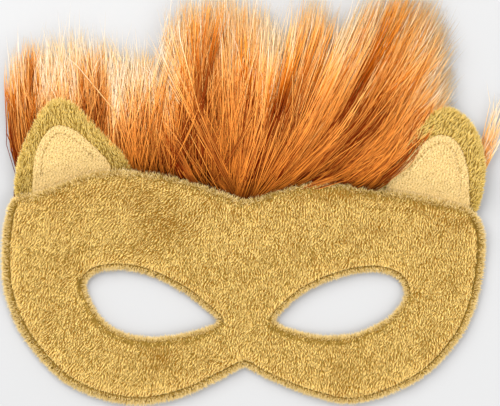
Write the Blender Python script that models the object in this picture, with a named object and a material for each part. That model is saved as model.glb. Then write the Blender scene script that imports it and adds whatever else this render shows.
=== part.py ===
"""A plush lion half mask lying on its back, brow towards +Y and face up.

The front panel and the back panel are sewn together round the edge and the eye holes. The ears and
the fur strip of the mane are caught between them along the brow. Blender 4.5, metres, +Z up. The
origin is on the flat back, at the bridge of the nose.
"""

import math
from collections import namedtuple

import bmesh
import bpy

MM = 0.001

# Heights of the layers above the table, in mm
BACK_THICKNESS = 1.2
GAP = 0.3
FRONT_BOTTOM = BACK_THICKNESS + GAP
FRONT_RIM = 1.3
STRIP_BOTTOM = BACK_THICKNESS + GAP
STRIP_THICKNESS = 0.9
STRIP_BITE = 0.1
EAR_BOTTOM = STRIP_BOTTOM + STRIP_THICKNESS + GAP
BROW_LIFT = 3.3

# Widths in the plane of the mask, in mm
BACK_INSET = 0.5
STRIP_TUCK = 4.0
STRIP_PROUD = 3.0
EAR_TUCK = 5.0
LIFT_FADE_MIDDLE = 30.0
LIFT_FADE_SIDE = 20.0
SIDE_START, SIDE_END = 75.0, 97.0

# The ears ride up over the fur behind them and grow plump past the brow, in mm
EAR_RISE, EAR_RISE_OVER = 3.3, 14.0
EAR_TAB_THICKNESS, EAR_BROW_THICKNESS, EAR_THICKNESS = 0.8, 1.4, 3.4
EAR_PLUMP_OVER = 9.0
PATCH_THICKNESS = 0.9
PATCH_GAP = 0.45
# Widths over which the edges of an ear and of its patch are rounded, in mm
EAR_ROUNDING, PATCH_ROUNDING = 2.2, 1.0

OUTLINE_POINTS = 120
EYE_POINTS = 40
LOOP_STEPS = 16
SECTION_STEPS = 3

# The brow from the left ear to the right ear, x and y in mm
BROW = (
    (-95.5, 50.4), (-86.5, 52.4), (-75.8, 56.2), (-63.8, 60.3), (-51.4, 61.7), (-34.9, 60.3),
    (-21.3, 57.2), (-7.6, 52.5), (0.8, 49.8), (6.8, 52.0), (14.2, 54.4), (24.0, 56.8),
    (37.8, 57.0), (48.5, 54.9), (65.5, 52.5), (79.1, 49.9), (89.5, 47.2), (95.5, 44.0),
)
# The cheeks from the right end of the brow, round under the nose, to its left end
CHEEKS = (
    (98.8, 37.0), (99.4, 26.0), (96.4, 8.5), (88.5, -8.6), (72.1, -24.8), (47.0, -34.4),
    (28.0, -31.4), (10.9, -24.8), (4.0, -21.3), (0.2, -19.4), (-4.4, -21.5), (-10.5, -24.8),
    (-24.6, -31.4), (-42.0, -35.1), (-59.7, -32.6), (-76.5, -24.3), (-91.5, -7.2),
    (-98.9, 9.9), (-100.4, 26.0), (-99.2, 40.0),
)
# The eye holes, each from its outer end round over the top to the corner by the nose
EYE_LEFT = (
    (-65.5, 13.6), (-62.6, 18.6), (-56.5, 20.5), (-47.3, 20.4), (-36.5, 17.2), (-25.0, 11.2),
    (-15.6, 3.9), (-11.4, 0.2), (-11.8, -1.4), (-17.5, -3.7), (-29.9, -6.6), (-41.5, -7.1),
    (-52.5, -4.3), (-60.6, 2.6),
)
EYE_RIGHT = (
    (66.2, 11.4), (63.4, 16.8), (56.5, 19.6), (46.5, 19.3), (34.5, 15.8), (24.6, 11.0),
    (17.0, 4.8), (13.1, 0.6), (13.3, -1.0), (18.0, -3.4), (30.5, -6.4), (44.0, -6.0),
    (55.5, -1.7), (63.8, 5.2),
)

Step = namedtuple("Step", "inset rise")
# How the plush rounds over at its edge, dips at the stitching and swells past it, in mm
PLUSH_STEPS = (
    Step(0.7, 0.7), Step(1.5, 0.35), Step(0.45, -0.75), Step(0.45, 0.85), Step(1.9, 0.55),
)

Section = namedtuple("Section", "left_x left_y right_x right_y follow scale")
# Sections across each ear from its tab to its tip, in mm. follow is the share of the brow's bow.
EAR_LEFT = (
    Section(-92.8, 46.0, -44.5, 56.4, 1.0, 1.0),
    Section(-95.8, 51.0, -43.0, 62.0, 1.0, 1.0),
    Section(-94.8, 58.6, -46.0, 66.0, 0.4, 1.0),
    Section(-94.0, 66.1, -51.0, 71.0, 0.0, 1.0),
    Section(-91.5, 72.6, -56.2, 76.0, 0.0, 1.0),
    Section(-88.8, 79.0, -61.2, 81.2, 0.0, 1.0),
    Section(-85.8, 84.6, -65.8, 86.0, 0.0, 1.0),
    Section(-83.0, 88.6, -68.8, 89.4, 0.0, 0.85),
    Section(-79.6, 91.6, -73.0, 91.9, 0.0, 0.45),
)
EAR_RIGHT = (
    Section(46.5, 50.3, 94.6, 39.6, 1.0, 1.0),
    Section(44.4, 56.2, 96.9, 44.6, 1.0, 1.0),
    Section(50.8, 61.2, 99.2, 53.9, 0.4, 1.0),
    Section(56.8, 67.2, 99.7, 62.2, 0.0, 1.0),
    Section(62.4, 72.7, 98.9, 69.4, 0.0, 1.0),
    Section(67.4, 77.8, 97.2, 75.4, 0.0, 1.0),
    Section(71.9, 82.2, 94.7, 80.6, 0.0, 1.0),
    Section(75.6, 85.4, 91.8, 84.2, 0.0, 0.85),
    Section(80.2, 88.2, 87.6, 87.7, 0.0, 0.45),
)
# Sections across each inner ear, from the brow's edge to its tip, in mm
PATCH_LEFT = (
    Section(-86.6, 54.0, -57.2, 62.8, 1.0, 1.0),
    Section(-86.6, 58.5, -56.2, 64.6, 0.4, 1.0),
    Section(-86.3, 63.6, -58.6, 67.8, 0.0, 1.0),
    Section(-85.4, 68.7, -62.2, 71.6, 0.0, 1.0),
    Section(-83.9, 72.8, -65.6, 74.6, 0.0, 1.0),
    Section(-81.2, 77.0, -69.4, 77.9, 0.0, 0.9),
    Section(-78.4, 79.2, -73.0, 79.5, 0.0, 0.6),
)
PATCH_RIGHT = (
    Section(60.6, 54.6, 90.9, 48.0, 1.0, 1.0),
    Section(61.4, 58.6, 91.8, 54.6, 0.4, 1.0),
    Section(65.0, 63.2, 91.4, 60.4, 0.0, 1.0),
    Section(68.8, 67.6, 90.4, 65.8, 0.0, 1.0),
    Section(72.0, 71.2, 88.6, 70.2, 0.0, 1.0),
    Section(75.4, 74.3, 85.9, 73.9, 0.0, 0.9),
    Section(78.6, 76.2, 83.4, 76.0, 0.0, 0.6),
)

Lock = namedtuple("Lock", "root_x tip_x tip_y width height bend")
# The locks of the mane from left to right, in mm. height is the highest point over the table, and
# bend is how far the middle of the lock stands off the straight line, towards +X.
LOCKS = (
    Lock(-89.0, -99.0, 111.0, 14.0, 4.6, -4.5),
    Lock(-83.0, -88.5, 121.0, 17.0, 5.0, -3.0),
    Lock(-74.0, -77.0, 117.0, 16.0, 4.6, -1.5),
    Lock(-63.0, -62.5, 115.0, 17.0, 5.0, 0.0),
    Lock(-54.0, -48.0, 114.0, 15.0, 4.6, 1.0),
    Lock(-43.5, -41.5, 106.0, 15.0, 5.0, 0.0),
    Lock(-34.5, -35.5, 102.0, 14.0, 8.0, 0.0),
    Lock(-26.5, -29.5, 124.0, 16.0, 11.0, 1.0),
    Lock(-17.5, -22.0, 130.0, 15.0, 13.5, 1.5),
    Lock(-11.0, -12.0, 133.0, 15.0, 11.5, 1.0),
    Lock(-4.0, -3.5, 132.0, 15.0, 13.5, 0.0),
    Lock(2.0, 7.0, 131.5, 14.0, 12.0, 0.0),
    Lock(6.5, 17.0, 119.0, 13.0, 14.0, -1.0),
    Lock(11.0, 25.5, 128.0, 15.0, 12.0, -1.5),
    Lock(16.5, 35.5, 127.0, 15.0, 14.0, -2.0),
    Lock(21.0, 44.0, 121.5, 14.0, 12.0, -2.0),
    Lock(26.5, 54.0, 134.0, 15.0, 13.5, -2.5),
    Lock(31.5, 65.5, 137.5, 16.0, 11.5, -2.5),
    Lock(36.0, 76.0, 137.0, 14.0, 9.0, -3.0),
    Lock(45.0, 85.0, 128.0, 15.0, 5.0, -2.0),
    Lock(58.0, 88.5, 111.0, 14.0, 4.6, 0.0),
    Lock(74.0, 92.0, 101.0, 14.0, 5.0, 1.0),
    Lock(84.0, 106.0, 98.0, 13.0, 4.6, 2.0),
)
LOCK_SIDES = 8
LOCK_TUCK = 3.0
# A lock lower than this lies behind an ear
LOW_LOCK = 5.5
# How far past the brow a lock starts to come down to the table, how long it takes, and how long a
# low lock takes to reach its own height, in mm
LOCK_DROP_START, LOCK_DROP = 1.0, 5.0
LOW_LOCK_SWELL = 18.0
LOCK_THINNEST = 0.5
# Along a lock: share of the length, share of the width, share of the height
Station = namedtuple("Station", "along width height")
LOCK_STATIONS = (
    Station(0.0, 0.62, 0.0), Station(0.05, 0.68, 0.08), Station(0.12, 0.78, 0.5),
    Station(0.22, 0.92, 0.9), Station(0.40, 1.0, 1.0), Station(0.60, 0.95, 0.8),
    Station(0.78, 0.76, 0.52), Station(0.91, 0.46, 0.27), Station(1.0, 0.10, 0.10),
)

Finish = namedtuple("Finish", "name colour roughness")
PLUSH = Finish("golden_plush", (0.64, 0.40, 0.10, 1.0), 0.95)
BACKING = Finish("back_plush", (0.58, 0.36, 0.09, 1.0), 0.95)
VELOUR = Finish("cream_velour", (0.88, 0.66, 0.27, 1.0), 0.9)
FUR = Finish("rust_fur", (0.58, 0.19, 0.04, 1.0), 0.8)


def clear_scene():
    for obj in list(bpy.data.objects):
        bpy.data.objects.remove(obj, do_unlink=True)


def material_of(finish):
    """One Principled BSDF for each finish."""
    found = bpy.data.materials.get(finish.name)
    if found:
        return found
    made = bpy.data.materials.new(finish.name)
    made.use_nodes = True
    made.diffuse_color = finish.colour
    shader = made.node_tree.nodes["Principled BSDF"]
    shader.inputs["Base Color"].default_value = finish.colour
    shader.inputs["Roughness"].default_value = finish.roughness
    shader.inputs["Metallic"].default_value = 0.0
    return made


def add_object(name, bm, finish):
    """Makes an object of a bmesh in mm, shaded smooth, with its faces pointing out."""
    bmesh.ops.scale(bm, vec=(MM, MM, MM), verts=bm.verts)
    bmesh.ops.recalc_face_normals(bm, faces=bm.faces)
    mesh = bpy.data.meshes.new(name)
    bm.to_mesh(mesh)
    bm.free()
    mesh.shade_smooth()
    mesh.set_sharp_from_angle(angle=math.radians(50))
    obj = bpy.data.objects.new(name, mesh)
    obj.data.materials.append(material_of(finish))
    bpy.context.scene.collection.objects.link(obj)
    return obj


def smoothstep(value):
    value = min(1.0, max(0.0, value))
    return value * value * (3.0 - 2.0 * value)


def mix(a, b, share):
    return a + (b - a) * share


def curve_value(values, t):
    """Catmull-Rom value between the second and the third of four values."""
    a, b, c, d = values
    return 0.5 * (2 * b + (c - a) * t + (2 * a - 5 * b + 4 * c - d) * t ** 2
                  + (3 * b - a - 3 * c + d) * t ** 3)


def smooth_loop(corners, count):
    """A closed Catmull-Rom curve through the corners, resampled to evenly spaced points."""
    fine = []
    for i in range(len(corners)):
        around = [corners[(i + k - 1) % len(corners)] for k in range(4)]
        for step in range(LOOP_STEPS):
            t = step / LOOP_STEPS
            fine.append(tuple(curve_value(values, t) for values in zip(*around)))
    lengths = [math.dist(a, b) for a, b in zip(fine, fine[1:] + fine[:1])]
    spacing = sum(lengths) / count
    points, travelled = [], 0.0
    for a, b, length in zip(fine, fine[1:] + fine[:1], lengths):
        while len(points) * spacing < travelled + length and len(points) < count:
            share = (len(points) * spacing - travelled) / length
            points.append((mix(a[0], b[0], share), mix(a[1], b[1], share)))
        travelled += length
    return points


def offset_loop(points, distance):
    """The closed loop moved by distance to its left hand side."""
    moved = []
    for before, here, after in zip(points[-1:] + points[:-1], points, points[1:] + points[:1]):
        along = (after[0] - before[0], after[1] - before[1])
        size = math.hypot(*along)
        moved.append((here[0] - along[1] / size * distance, here[1] + along[0] / size * distance))
    return moved


def brow_y(x):
    """Height of the brow line at x, straight between the points of its table."""
    x = min(BROW[-1][0], max(BROW[0][0], x))
    for (x0, y0), (x1, y1) in zip(BROW, BROW[1:]):
        if x <= x1:
            return mix(y0, y1, (x - x0) / (x1 - x0))
    return BROW[-1][1]


def lift(x, y):
    """How far the front panel is raised by what is sewn in under the brow."""
    side = smoothstep((abs(x) - SIDE_START) / (SIDE_END - SIDE_START))
    fade = mix(LIFT_FADE_MIDDLE, LIFT_FADE_SIDE, side)
    return BROW_LIFT * smoothstep(1.0 - (brow_y(x) - y) / fade)


def panel_face(bm, inset, height):
    """Fills the outline of the mask, less its two eye holes, at one height."""
    edges = []
    outline = offset_loop(smooth_loop(BROW + CHEEKS, OUTLINE_POINTS), -inset)
    left = offset_loop(smooth_loop(EYE_LEFT, EYE_POINTS), inset)
    right = offset_loop(smooth_loop(EYE_RIGHT, EYE_POINTS), -inset)
    for loop in (outline, left, right):
        verts = [bm.verts.new((x, y, height)) for x, y in loop]
        edges += [bm.edges.new(pair) for pair in zip(verts, verts[1:] + verts[:1])]
    bmesh.ops.triangle_fill(bm, edges=edges, use_beauty=True, normal=(0.0, 0.0, 1.0))
    return list(bm.faces)


def raise_faces(bm, faces, height):
    """Extrudes the faces up by height and returns the raised ones."""
    made = bmesh.ops.extrude_face_region(bm, geom=faces)["geom"]
    verts = [item for item in made if isinstance(item, bmesh.types.BMVert)]
    bmesh.ops.translate(bm, vec=(0.0, 0.0, height), verts=verts)
    return [item for item in made if isinstance(item, bmesh.types.BMFace)]


def back_panel():
    """The flat layer that lies on the table."""
    bm = bmesh.new()
    raise_faces(bm, panel_face(bm, BACK_INSET, 0.0), BACK_THICKNESS)
    return add_object("face_back", bm, BACKING)


def front_panel():
    """The plush layer: round edges, a stitched groove inside each edge, raised along the brow."""
    bm = bmesh.new()
    top = raise_faces(bm, panel_face(bm, 0.0, FRONT_BOTTOM), FRONT_RIM)
    for step in PLUSH_STEPS:
        bmesh.ops.inset_region(
            bm, faces=top, thickness=step.inset, depth=step.rise,
            use_boundary=True, use_even_offset=True,
        )
    for vert in bm.verts:
        vert.co.z += lift(vert.co.x, vert.co.y)
    return add_object("face_front", bm, PLUSH)


def loft(bm, rings):
    """Skins closed rings of equal count one after another, and caps both ends."""
    made = [[bm.verts.new(point) for point in ring] for ring in rings]
    for low, high in zip(made, made[1:]):
        for i in range(len(low)):
            j = (i + 1) % len(low)
            bm.faces.new((low[i], low[j], high[j], high[i]))
    bm.faces.new(made[0])
    bm.faces.new(made[-1])


def finer(sections):
    """Adds sections between those of a table, on Catmull-Rom curves."""
    ends = [sections[0], *sections, sections[-1]]
    made = []
    for i in range(len(sections) - 1):
        for step in range(SECTION_STEPS):
            t = step / SECTION_STEPS
            made.append(Section(*(curve_value(values, t) for values in zip(*ends[i:i + 4]))))
    return [*made, sections[-1]]


def ear_floor(x, y):
    """Height of the underside of an ear."""
    return EAR_BOTTOM + EAR_RISE * smoothstep((y - brow_y(x)) / EAR_RISE_OVER)


def ear_thickness(x, y):
    """Thin where the ear is caught under the brow, plump past it."""
    past = y - brow_y(x)
    if past < 0.0:
        return mix(EAR_BROW_THICKNESS, EAR_TAB_THICKNESS, min(1.0, -past / EAR_TUCK))
    return mix(EAR_BROW_THICKNESS, EAR_THICKNESS, smoothstep(past / EAR_PLUMP_OVER))


def pad_ring(section, rounding, bottom, thickness):
    """A closed ring across a flat pad whose two edges are rounded over the width given."""
    width = math.dist((section.left_x, section.left_y), (section.right_x, section.right_y))
    edge = min(rounding / width, 0.3)
    lip = 0.28 * edge
    top = [(0.0, 0.5), (lip, 0.85), (edge, 1.0), (0.3, 1.0), (0.5, 1.0)]
    top += [(1.0 - across, level) for across, level in top[3::-1]]
    under = [(1.0 - lip, 0.12), (1.0 - edge, 0.0), (0.7, 0.0), (0.5, 0.0)]
    under += [(1.0 - across, level) for across, level in under[2::-1]]
    ring = []
    for across, level in top + under:
        x = mix(section.left_x, section.right_x, across)
        chord = mix(brow_y(section.left_x), brow_y(section.right_x), across)
        y = mix(section.left_y, section.right_y, across) + section.follow * (brow_y(x) - chord)
        middle = 0.5 + (level - 0.5) * section.scale
        ring.append((x, y, bottom(x, y) + middle * thickness(x, y)))
    return ring


def ear(name, sections):
    """A rounded ear of two plush layers, with its tab tucked under the brow."""
    bm = bmesh.new()
    rings = [pad_ring(item, EAR_ROUNDING, ear_floor, ear_thickness) for item in finer(sections)]
    loft(bm, rings)
    return add_object(name, bm, PLUSH)


def inner_ear(name, sections):
    """The thin velour patch on the front of an ear."""

    def bottom(x, y):
        return ear_floor(x, y) + ear_thickness(x, y) + PATCH_GAP

    def thickness(x, y):
        return PATCH_THICKNESS

    bm = bmesh.new()
    loft(bm, [pad_ring(item, PATCH_ROUNDING, bottom, thickness) for item in finer(sections)])
    return add_object(name, bm, VELOUR)


def fur_strip():
    """The woven backing of the fur, which runs the whole length of the brow."""
    rings = []
    top = STRIP_BOTTOM + STRIP_THICKNESS
    for x, y in BROW[:-1]:
        low, high = y - STRIP_TUCK, y + STRIP_PROUD
        rings.append([(x, low, STRIP_BOTTOM), (x, high, STRIP_BOTTOM), (x, high, top), (x, low, top)])
    bm = bmesh.new()
    loft(bm, rings)
    return add_object("mane", bm, FUR)


def lock_bottom(x, y):
    """Height of the underside of a lock: over the back panel near the root, then on the table."""
    past = y - brow_y(x) - LOCK_DROP_START
    return mix(STRIP_BOTTOM + STRIP_BITE, 0.0, smoothstep(past / LOCK_DROP))


def lock_top(lock, station, x, y):
    """Low locks stay under the ears. The others swell past the brow and thin out to the tip."""
    root = STRIP_BOTTOM + STRIP_THICKNESS - STRIP_BITE
    if lock.height >= LOW_LOCK:
        return root + (lock.height - root) * station.height
    free = lock.height * mix(0.3, 1.0, station.height)
    return mix(root, free, smoothstep((y - brow_y(x)) / LOW_LOCK_SWELL))


def lock_ring(lock, station):
    """A flat-bottomed oval across a lock."""
    root_y = brow_y(lock.root_x) - LOCK_TUCK
    length = math.dist((lock.root_x, root_y), (lock.tip_x, lock.tip_y))
    side_x = (lock.tip_y - root_y) / length
    side_y = (lock.root_x - lock.tip_x) / length
    bow = lock.bend * 4.0 * station.along * (1.0 - station.along)
    middle_x = mix(lock.root_x, lock.tip_x, station.along) + side_x * bow
    middle_y = mix(root_y, lock.tip_y, station.along) + side_y * bow
    half_width = 0.5 * lock.width * station.width
    ring = []
    for i in range(LOCK_SIDES):
        angle = 2.0 * math.pi * (i + 0.5) / LOCK_SIDES
        x = middle_x + side_x * half_width * math.cos(angle)
        y = middle_y + side_y * half_width * math.cos(angle)
        low = lock_bottom(x, y)
        high = max(lock_top(lock, station, x, y), low + LOCK_THINNEST)
        ring.append((x, y, mix(low, high, 0.5 + 0.5 * math.sin(angle))))
    return ring


def mane():
    """The locks, fused to the strip that carries them."""
    strip = fur_strip()
    locks = bpy.data.collections.new("locks")
    bpy.context.scene.collection.children.link(locks)
    for number, lock in enumerate(LOCKS):
        bm = bmesh.new()
        loft(bm, [lock_ring(lock, station) for station in LOCK_STATIONS])
        made = add_object(f"lock_{number:02d}", bm, FUR)
        bpy.context.scene.collection.objects.unlink(made)
        locks.objects.link(made)
        made.hide_render = True
        made.display_type = "WIRE"
    fused = strip.modifiers.new("fused", "BOOLEAN")
    fused.operation = "UNION"
    fused.operand_type = "COLLECTION"
    fused.collection = locks
    fused.solver = "EXACT"
    return strip


def main():
    clear_scene()
    back_panel()
    front_panel()
    ear("ear_left", EAR_LEFT)
    ear("ear_right", EAR_RIGHT)
    inner_ear("inner_ear_left", PATCH_LEFT)
    inner_ear("inner_ear_right", PATCH_RIGHT)
    mane()


main()
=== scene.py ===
# Looks of the plush lion half mask. It lies face up, brow and mane towards +Y.
# Settings are in millimetres and degrees. Meshes are made in metres.
import math

import bmesh
import bpy
import numpy as np
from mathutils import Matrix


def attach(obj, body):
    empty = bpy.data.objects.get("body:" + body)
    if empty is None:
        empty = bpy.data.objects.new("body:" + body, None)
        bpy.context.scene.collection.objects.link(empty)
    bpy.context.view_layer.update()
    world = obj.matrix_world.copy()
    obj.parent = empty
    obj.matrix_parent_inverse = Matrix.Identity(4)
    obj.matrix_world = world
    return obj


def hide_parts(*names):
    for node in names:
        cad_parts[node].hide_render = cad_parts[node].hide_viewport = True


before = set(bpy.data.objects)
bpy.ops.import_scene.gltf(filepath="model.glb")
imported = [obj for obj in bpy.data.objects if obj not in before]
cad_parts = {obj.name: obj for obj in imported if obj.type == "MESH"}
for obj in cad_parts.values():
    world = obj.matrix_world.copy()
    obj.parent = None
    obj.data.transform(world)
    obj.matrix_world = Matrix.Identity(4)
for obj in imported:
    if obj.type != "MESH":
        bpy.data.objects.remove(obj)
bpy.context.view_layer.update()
mm = 0.001
chunk = 8000  # points that are worked on at once
loopSteps = 16  # points to each span of a smooth loop
print("frame loaded:", ", ".join(sorted(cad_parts)))

maskShape = {
    "brow": [
        (-95.5, 50.4), (-86.5, 52.4), (-75.8, 56.2), (-63.8, 60.3), (-51.4, 61.7), (-34.9, 60.3),
        (-21.3, 57.2), (-7.6, 52.5), (0.8, 49.8), (6.8, 52.0), (14.2, 54.4), (24.0, 56.8),
        (37.8, 57.0), (48.5, 54.9), (65.5, 52.5), (79.1, 49.9), (89.5, 47.2), (95.5, 44.0),
    ],
    "cheeks": [
        (98.8, 37.0), (99.4, 26.0), (96.4, 8.5), (88.5, -8.6), (72.1, -24.8), (47.0, -34.4),
        (28.0, -31.4), (10.9, -24.8), (4.0, -21.3), (0.2, -19.4), (-4.4, -21.5), (-10.5, -24.8),
        (-24.6, -31.4), (-42.0, -35.1), (-59.7, -32.6), (-76.5, -24.3), (-91.5, -7.2),
        (-98.9, 9.9), (-100.4, 26.0), (-99.2, 40.0),
    ],
    "eyeLeft": [
        (-65.5, 13.6), (-62.6, 18.6), (-56.5, 20.5), (-47.3, 20.4), (-36.5, 17.2), (-25.0, 11.2),
        (-15.6, 3.9), (-11.4, 0.2), (-11.8, -1.4), (-17.5, -3.7), (-29.9, -6.6), (-41.5, -7.1),
        (-52.5, -4.3), (-60.6, 2.6),
    ],
    "eyeRight": [
        (66.2, 11.4), (63.4, 16.8), (56.5, 19.6), (46.5, 19.3), (34.5, 15.8), (24.6, 11.0),
        (17.0, 4.8), (13.1, 0.6), (13.3, -1.0), (18.0, -3.4), (30.5, -6.4), (44.0, -6.0),
        (55.5, -1.7), (63.8, 5.2),
    ],
    "coarse": (220, 90),  # points of the outline and of an eye hole that distances are measured to
    "browDip": 8,  # which corner of the brow is the dip over the nose
    "noseNotch": 9,  # which corner of the cheeks is the notch under the nose
    "eyeCentres": [(-40.0, 7.0), (40.0, 6.5)],
    "edgeTuck": 0.8,  # how far the pile reaches past the cloth, at the outer edge and in the eye holes
    "eyeTuck": 0.9,
    "liftHeight": 3.3,  # how far the ears and fur push the plush up along the brow
    "liftFade": (30.0, 20.0),  # over how much of the face, in the middle and at the sides
    "liftSide": (75.0, 22.0),  # where the sides start, and how wide they are
    "browBand": (9.0, 3.0),  # the brow's band: how far it goes down, and over how much it fades in
    "browEnds": (95.0, 4.0),  # where it ends at both sides, and over how much it fades out
}


# Smooth step: 3v^2 - 2v^3, with v kept between 0 and 1
def ease(value):
    value = np.clip(value, 0.0, 1.0)
    return value * value * (3.0 - 2.0 * value)


# Closed Catmull-Rom curve: each span is (2b + (c-a)t + (2a-5b+4c-d)t^2 + (3b-a-3c+d)t^3) / 2
def smoothLoop(corners, steps=loopSteps):
    b = np.array(corners, float)[:, None, :]
    a, c, d = np.roll(b, 1, 0), np.roll(b, -1, 0), np.roll(b, -2, 0)
    t = (np.arange(steps) / steps)[None, :, None]
    spans = 2 * b + (c - a) * t + (2 * a - 5 * b + 4 * c - d) * t**2 + (3 * b - a - 3 * c + d) * t**3
    return 0.5 * spans.reshape(-1, 2)


# Points at even steps of the length travelled along a path
def evenly(path, count, closed=False):
    path = np.vstack([path, path[:1]]) if closed else path
    travelled = np.concatenate([[0.0], np.cumsum(np.linalg.norm(np.diff(path, axis=0), axis=1))])
    at = np.linspace(0.0, travelled[-1], count + (1 if closed else 0))[:count]
    return np.column_stack([np.interp(at, travelled, path[:, k]) for k in range(path.shape[1])])


# Length of a closed loop: the sum of the distances from each point to the next
def lengthOf(loop):
    return np.linalg.norm(np.roll(loop, -1, 0) - loop, axis=1).sum()


# Shoelace: half the sum of x0*y1 - x1*y0, more than 0 where the loop turns counterclockwise
def turnedArea(loop):
    x, y = loop.T
    return 0.5 * (x * np.roll(y, -1) - np.roll(x, -1) * y).sum()


# Distance from each point to a closed loop, and the unit vector towards the nearest spot on it
def nearest(points, loop):
    along = np.roll(loop, -1, 0) - loop
    found = []
    for part in np.array_split(points, max(1, len(points) // chunk)):
        gap = part[:, None, :] - loop[None]
        share = np.clip((gap * along).sum(2) / (along**2).sum(1), 0.0, 1.0)
        gap = share[..., None] * along - gap
        best = np.hypot(gap[..., 0], gap[..., 1]).argmin(1)
        found.append(gap[np.arange(len(part)), best])
    gap = np.vstack(found)
    distance = np.hypot(gap[:, 0], gap[:, 1])
    return distance, gap / np.maximum(distance, 1e-6)[:, None]


# Even-odd rule: a point is inside if a line to its right crosses the loop an odd number of times
def inside(points, loop):
    x0, y0 = loop.T
    x1, y1 = np.roll(loop, -1, 0).T
    rise = np.where(np.abs(y1 - y0) < 1e-9, 1e-9, y1 - y0)
    found = []
    for part in np.array_split(points, max(1, len(points) // chunk)):
        x, y = part[:, :1], part[:, 1:]
        found.append((((y0 > y) != (y1 > y)) & (x < (x1 - x0) * (y - y0) / rise + x0)).sum(1) % 2 == 1)
    return np.concatenate(found)


fieldWaves = {"number": 12, "spread": (0.6, 1.5), "level": 3.5}


# Uneven field of about -1 to 1: the sum of sine waves, each about `size` long, in chance directions
def uneven(x, y, size, seed):
    chance = np.random.default_rng(seed)
    angle, phase = chance.uniform(0.0, 2.0 * np.pi, (2, fieldWaves["number"]))
    turn = 2.0 * np.pi / size * chance.uniform(*fieldWaves["spread"], fieldWaves["number"])
    alongX = np.multiply.outer(x, turn * np.cos(angle))
    alongY = np.multiply.outer(y, turn * np.sin(angle))
    return np.sin(alongX + alongY + phase).sum(-1) / fieldWaves["level"]


# Sum over a table of rows (much, size, seed) of much * uneven(size, seed)
def waved(x, y, rows):
    return sum(much * uneven(x, y, size, seed) for much, size, seed in rows)


# Sum over a table of spots of amount * exp(-((x - atX) / halfWidth)^2 - ((y - atY) / halfHeight)^2)
def spotted(x, y, spots):
    total = np.zeros_like(x)
    for atX, atY, halfWidth, halfHeight, amount in spots:
        total += amount * np.exp(-(((x - atX) / halfWidth) ** 2) - ((y - atY) / halfHeight) ** 2)
    return total


# Quarter of a circle: sqrt(1 - (1 - distance/radius)^2), 0 at the edge and 1 from the radius inwards
def rounded(distance, radius):
    return np.sqrt(1.0 - (1.0 - np.clip(distance / radius, 0.0, 1.0)) ** 2)


# The brow's edge at x, on straight lines between its corners
def browAt(x):
    brow = np.array(maskShape["brow"])
    return np.interp(x, brow[:, 0], brow[:, 1])


# Height that the brow is pushed up by: liftHeight * ease(1 - (brow - y) / fade)
def liftAt(x, y):
    start, width = maskShape["liftSide"]
    middle, side = maskShape["liftFade"]
    fade = middle + (side - middle) * ease((np.abs(x) - start) / width)
    return maskShape["liftHeight"] * ease(1.0 - (browAt(x) - y) / fade)


# Unit vectors across a loop, pointing out of it: the tangent (x, y) turned to (-y, x) or (y, -x)
def outwards(loop):
    tangent = np.roll(loop, -1, 0) - np.roll(loop, 1, 0)
    tangent /= np.linalg.norm(tangent, axis=1)[:, None]
    return -np.sign(turnedArea(loop)) * np.column_stack([-tangent[:, 1], tangent[:, 0]])


# A loop moved along its outward normals
def movedLoop(loop, distance):
    return loop + distance * outwards(loop)


# The cloth ends a little short of the shape that is seen: the pile covers the rest
seenOutline = smoothLoop(maskShape["brow"] + maskShape["cheeks"])
seenEyes = [smoothLoop(maskShape["eyeLeft"]), smoothLoop(maskShape["eyeRight"])]
outline = movedLoop(seenOutline, -maskShape["edgeTuck"])
eyeLoops = [movedLoop(loop, maskShape["eyeTuck"]) for loop in seenEyes]
coarseOutline = evenly(outline, maskShape["coarse"][0], closed=True)
coarseEyes = [evenly(loop, maskShape["coarse"][1], closed=True) for loop in eyeLoops]


# Puts points and triangles into a mesh. uv is one pair a point, kept under two names: hairUv, which the
# material reads, and OFBake, a copy of it.
def makePiece(name, points, faces, finish, uv=None, merge=False, smooth=True):
    mesh = bpy.data.meshes.new(name)
    mesh.vertices.add(len(points))
    mesh.vertices.foreach_set("co", (points * mm).astype(np.float32).ravel())
    mesh.loops.add(faces.size)
    mesh.loops.foreach_set("vertex_index", faces.astype(np.int32).ravel())
    mesh.polygons.add(len(faces))
    mesh.polygons.foreach_set("loop_start", np.arange(0, faces.size, 3, dtype=np.int32))
    mesh.update(calc_edges=True)
    if uv is not None:
        for layerName in ("hairUv", "OFBake"):
            layer = mesh.uv_layers.new(name=layerName)
            layer.data.foreach_set("uv", uv[faces.ravel()].astype(np.float32).ravel())
    if merge:
        work = bmesh.new()
        work.from_mesh(mesh)
        bmesh.ops.remove_doubles(work, verts=work.verts, dist=2e-6)
        bmesh.ops.recalc_face_normals(work, faces=work.faces)
        work.to_mesh(mesh)
        work.free()
    mesh.polygons.foreach_set("use_smooth", np.full(len(mesh.polygons), smooth))
    mesh.materials.append(finish)
    piece = bpy.data.objects.new(name, mesh)
    bpy.context.scene.collection.objects.link(piece)
    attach(piece, "root")
    print(f"{name}: {len(mesh.polygons)} triangles")
    return piece


# Two triangles for each square of a grid of point numbers
def gridFaces(numbers):
    a, b, c, d = numbers[:-1, :-1], numbers[1:, :-1], numbers[1:, 1:], numbers[:-1, 1:]
    first = np.stack([a, b, c], -1).reshape(-1, 3)
    second = np.stack([a, c, d], -1).reshape(-1, 3)
    return np.vstack([first, second])


# Turns every triangle round if together they enclose a negative volume
def facingOut(points, faces):
    a, b, c = (points[faces[:, k]] for k in range(3))
    volume = (a * np.cross(b, c)).sum()
    return faces if volume > 0.0 else faces[:, ::-1]


# Materials

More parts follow.
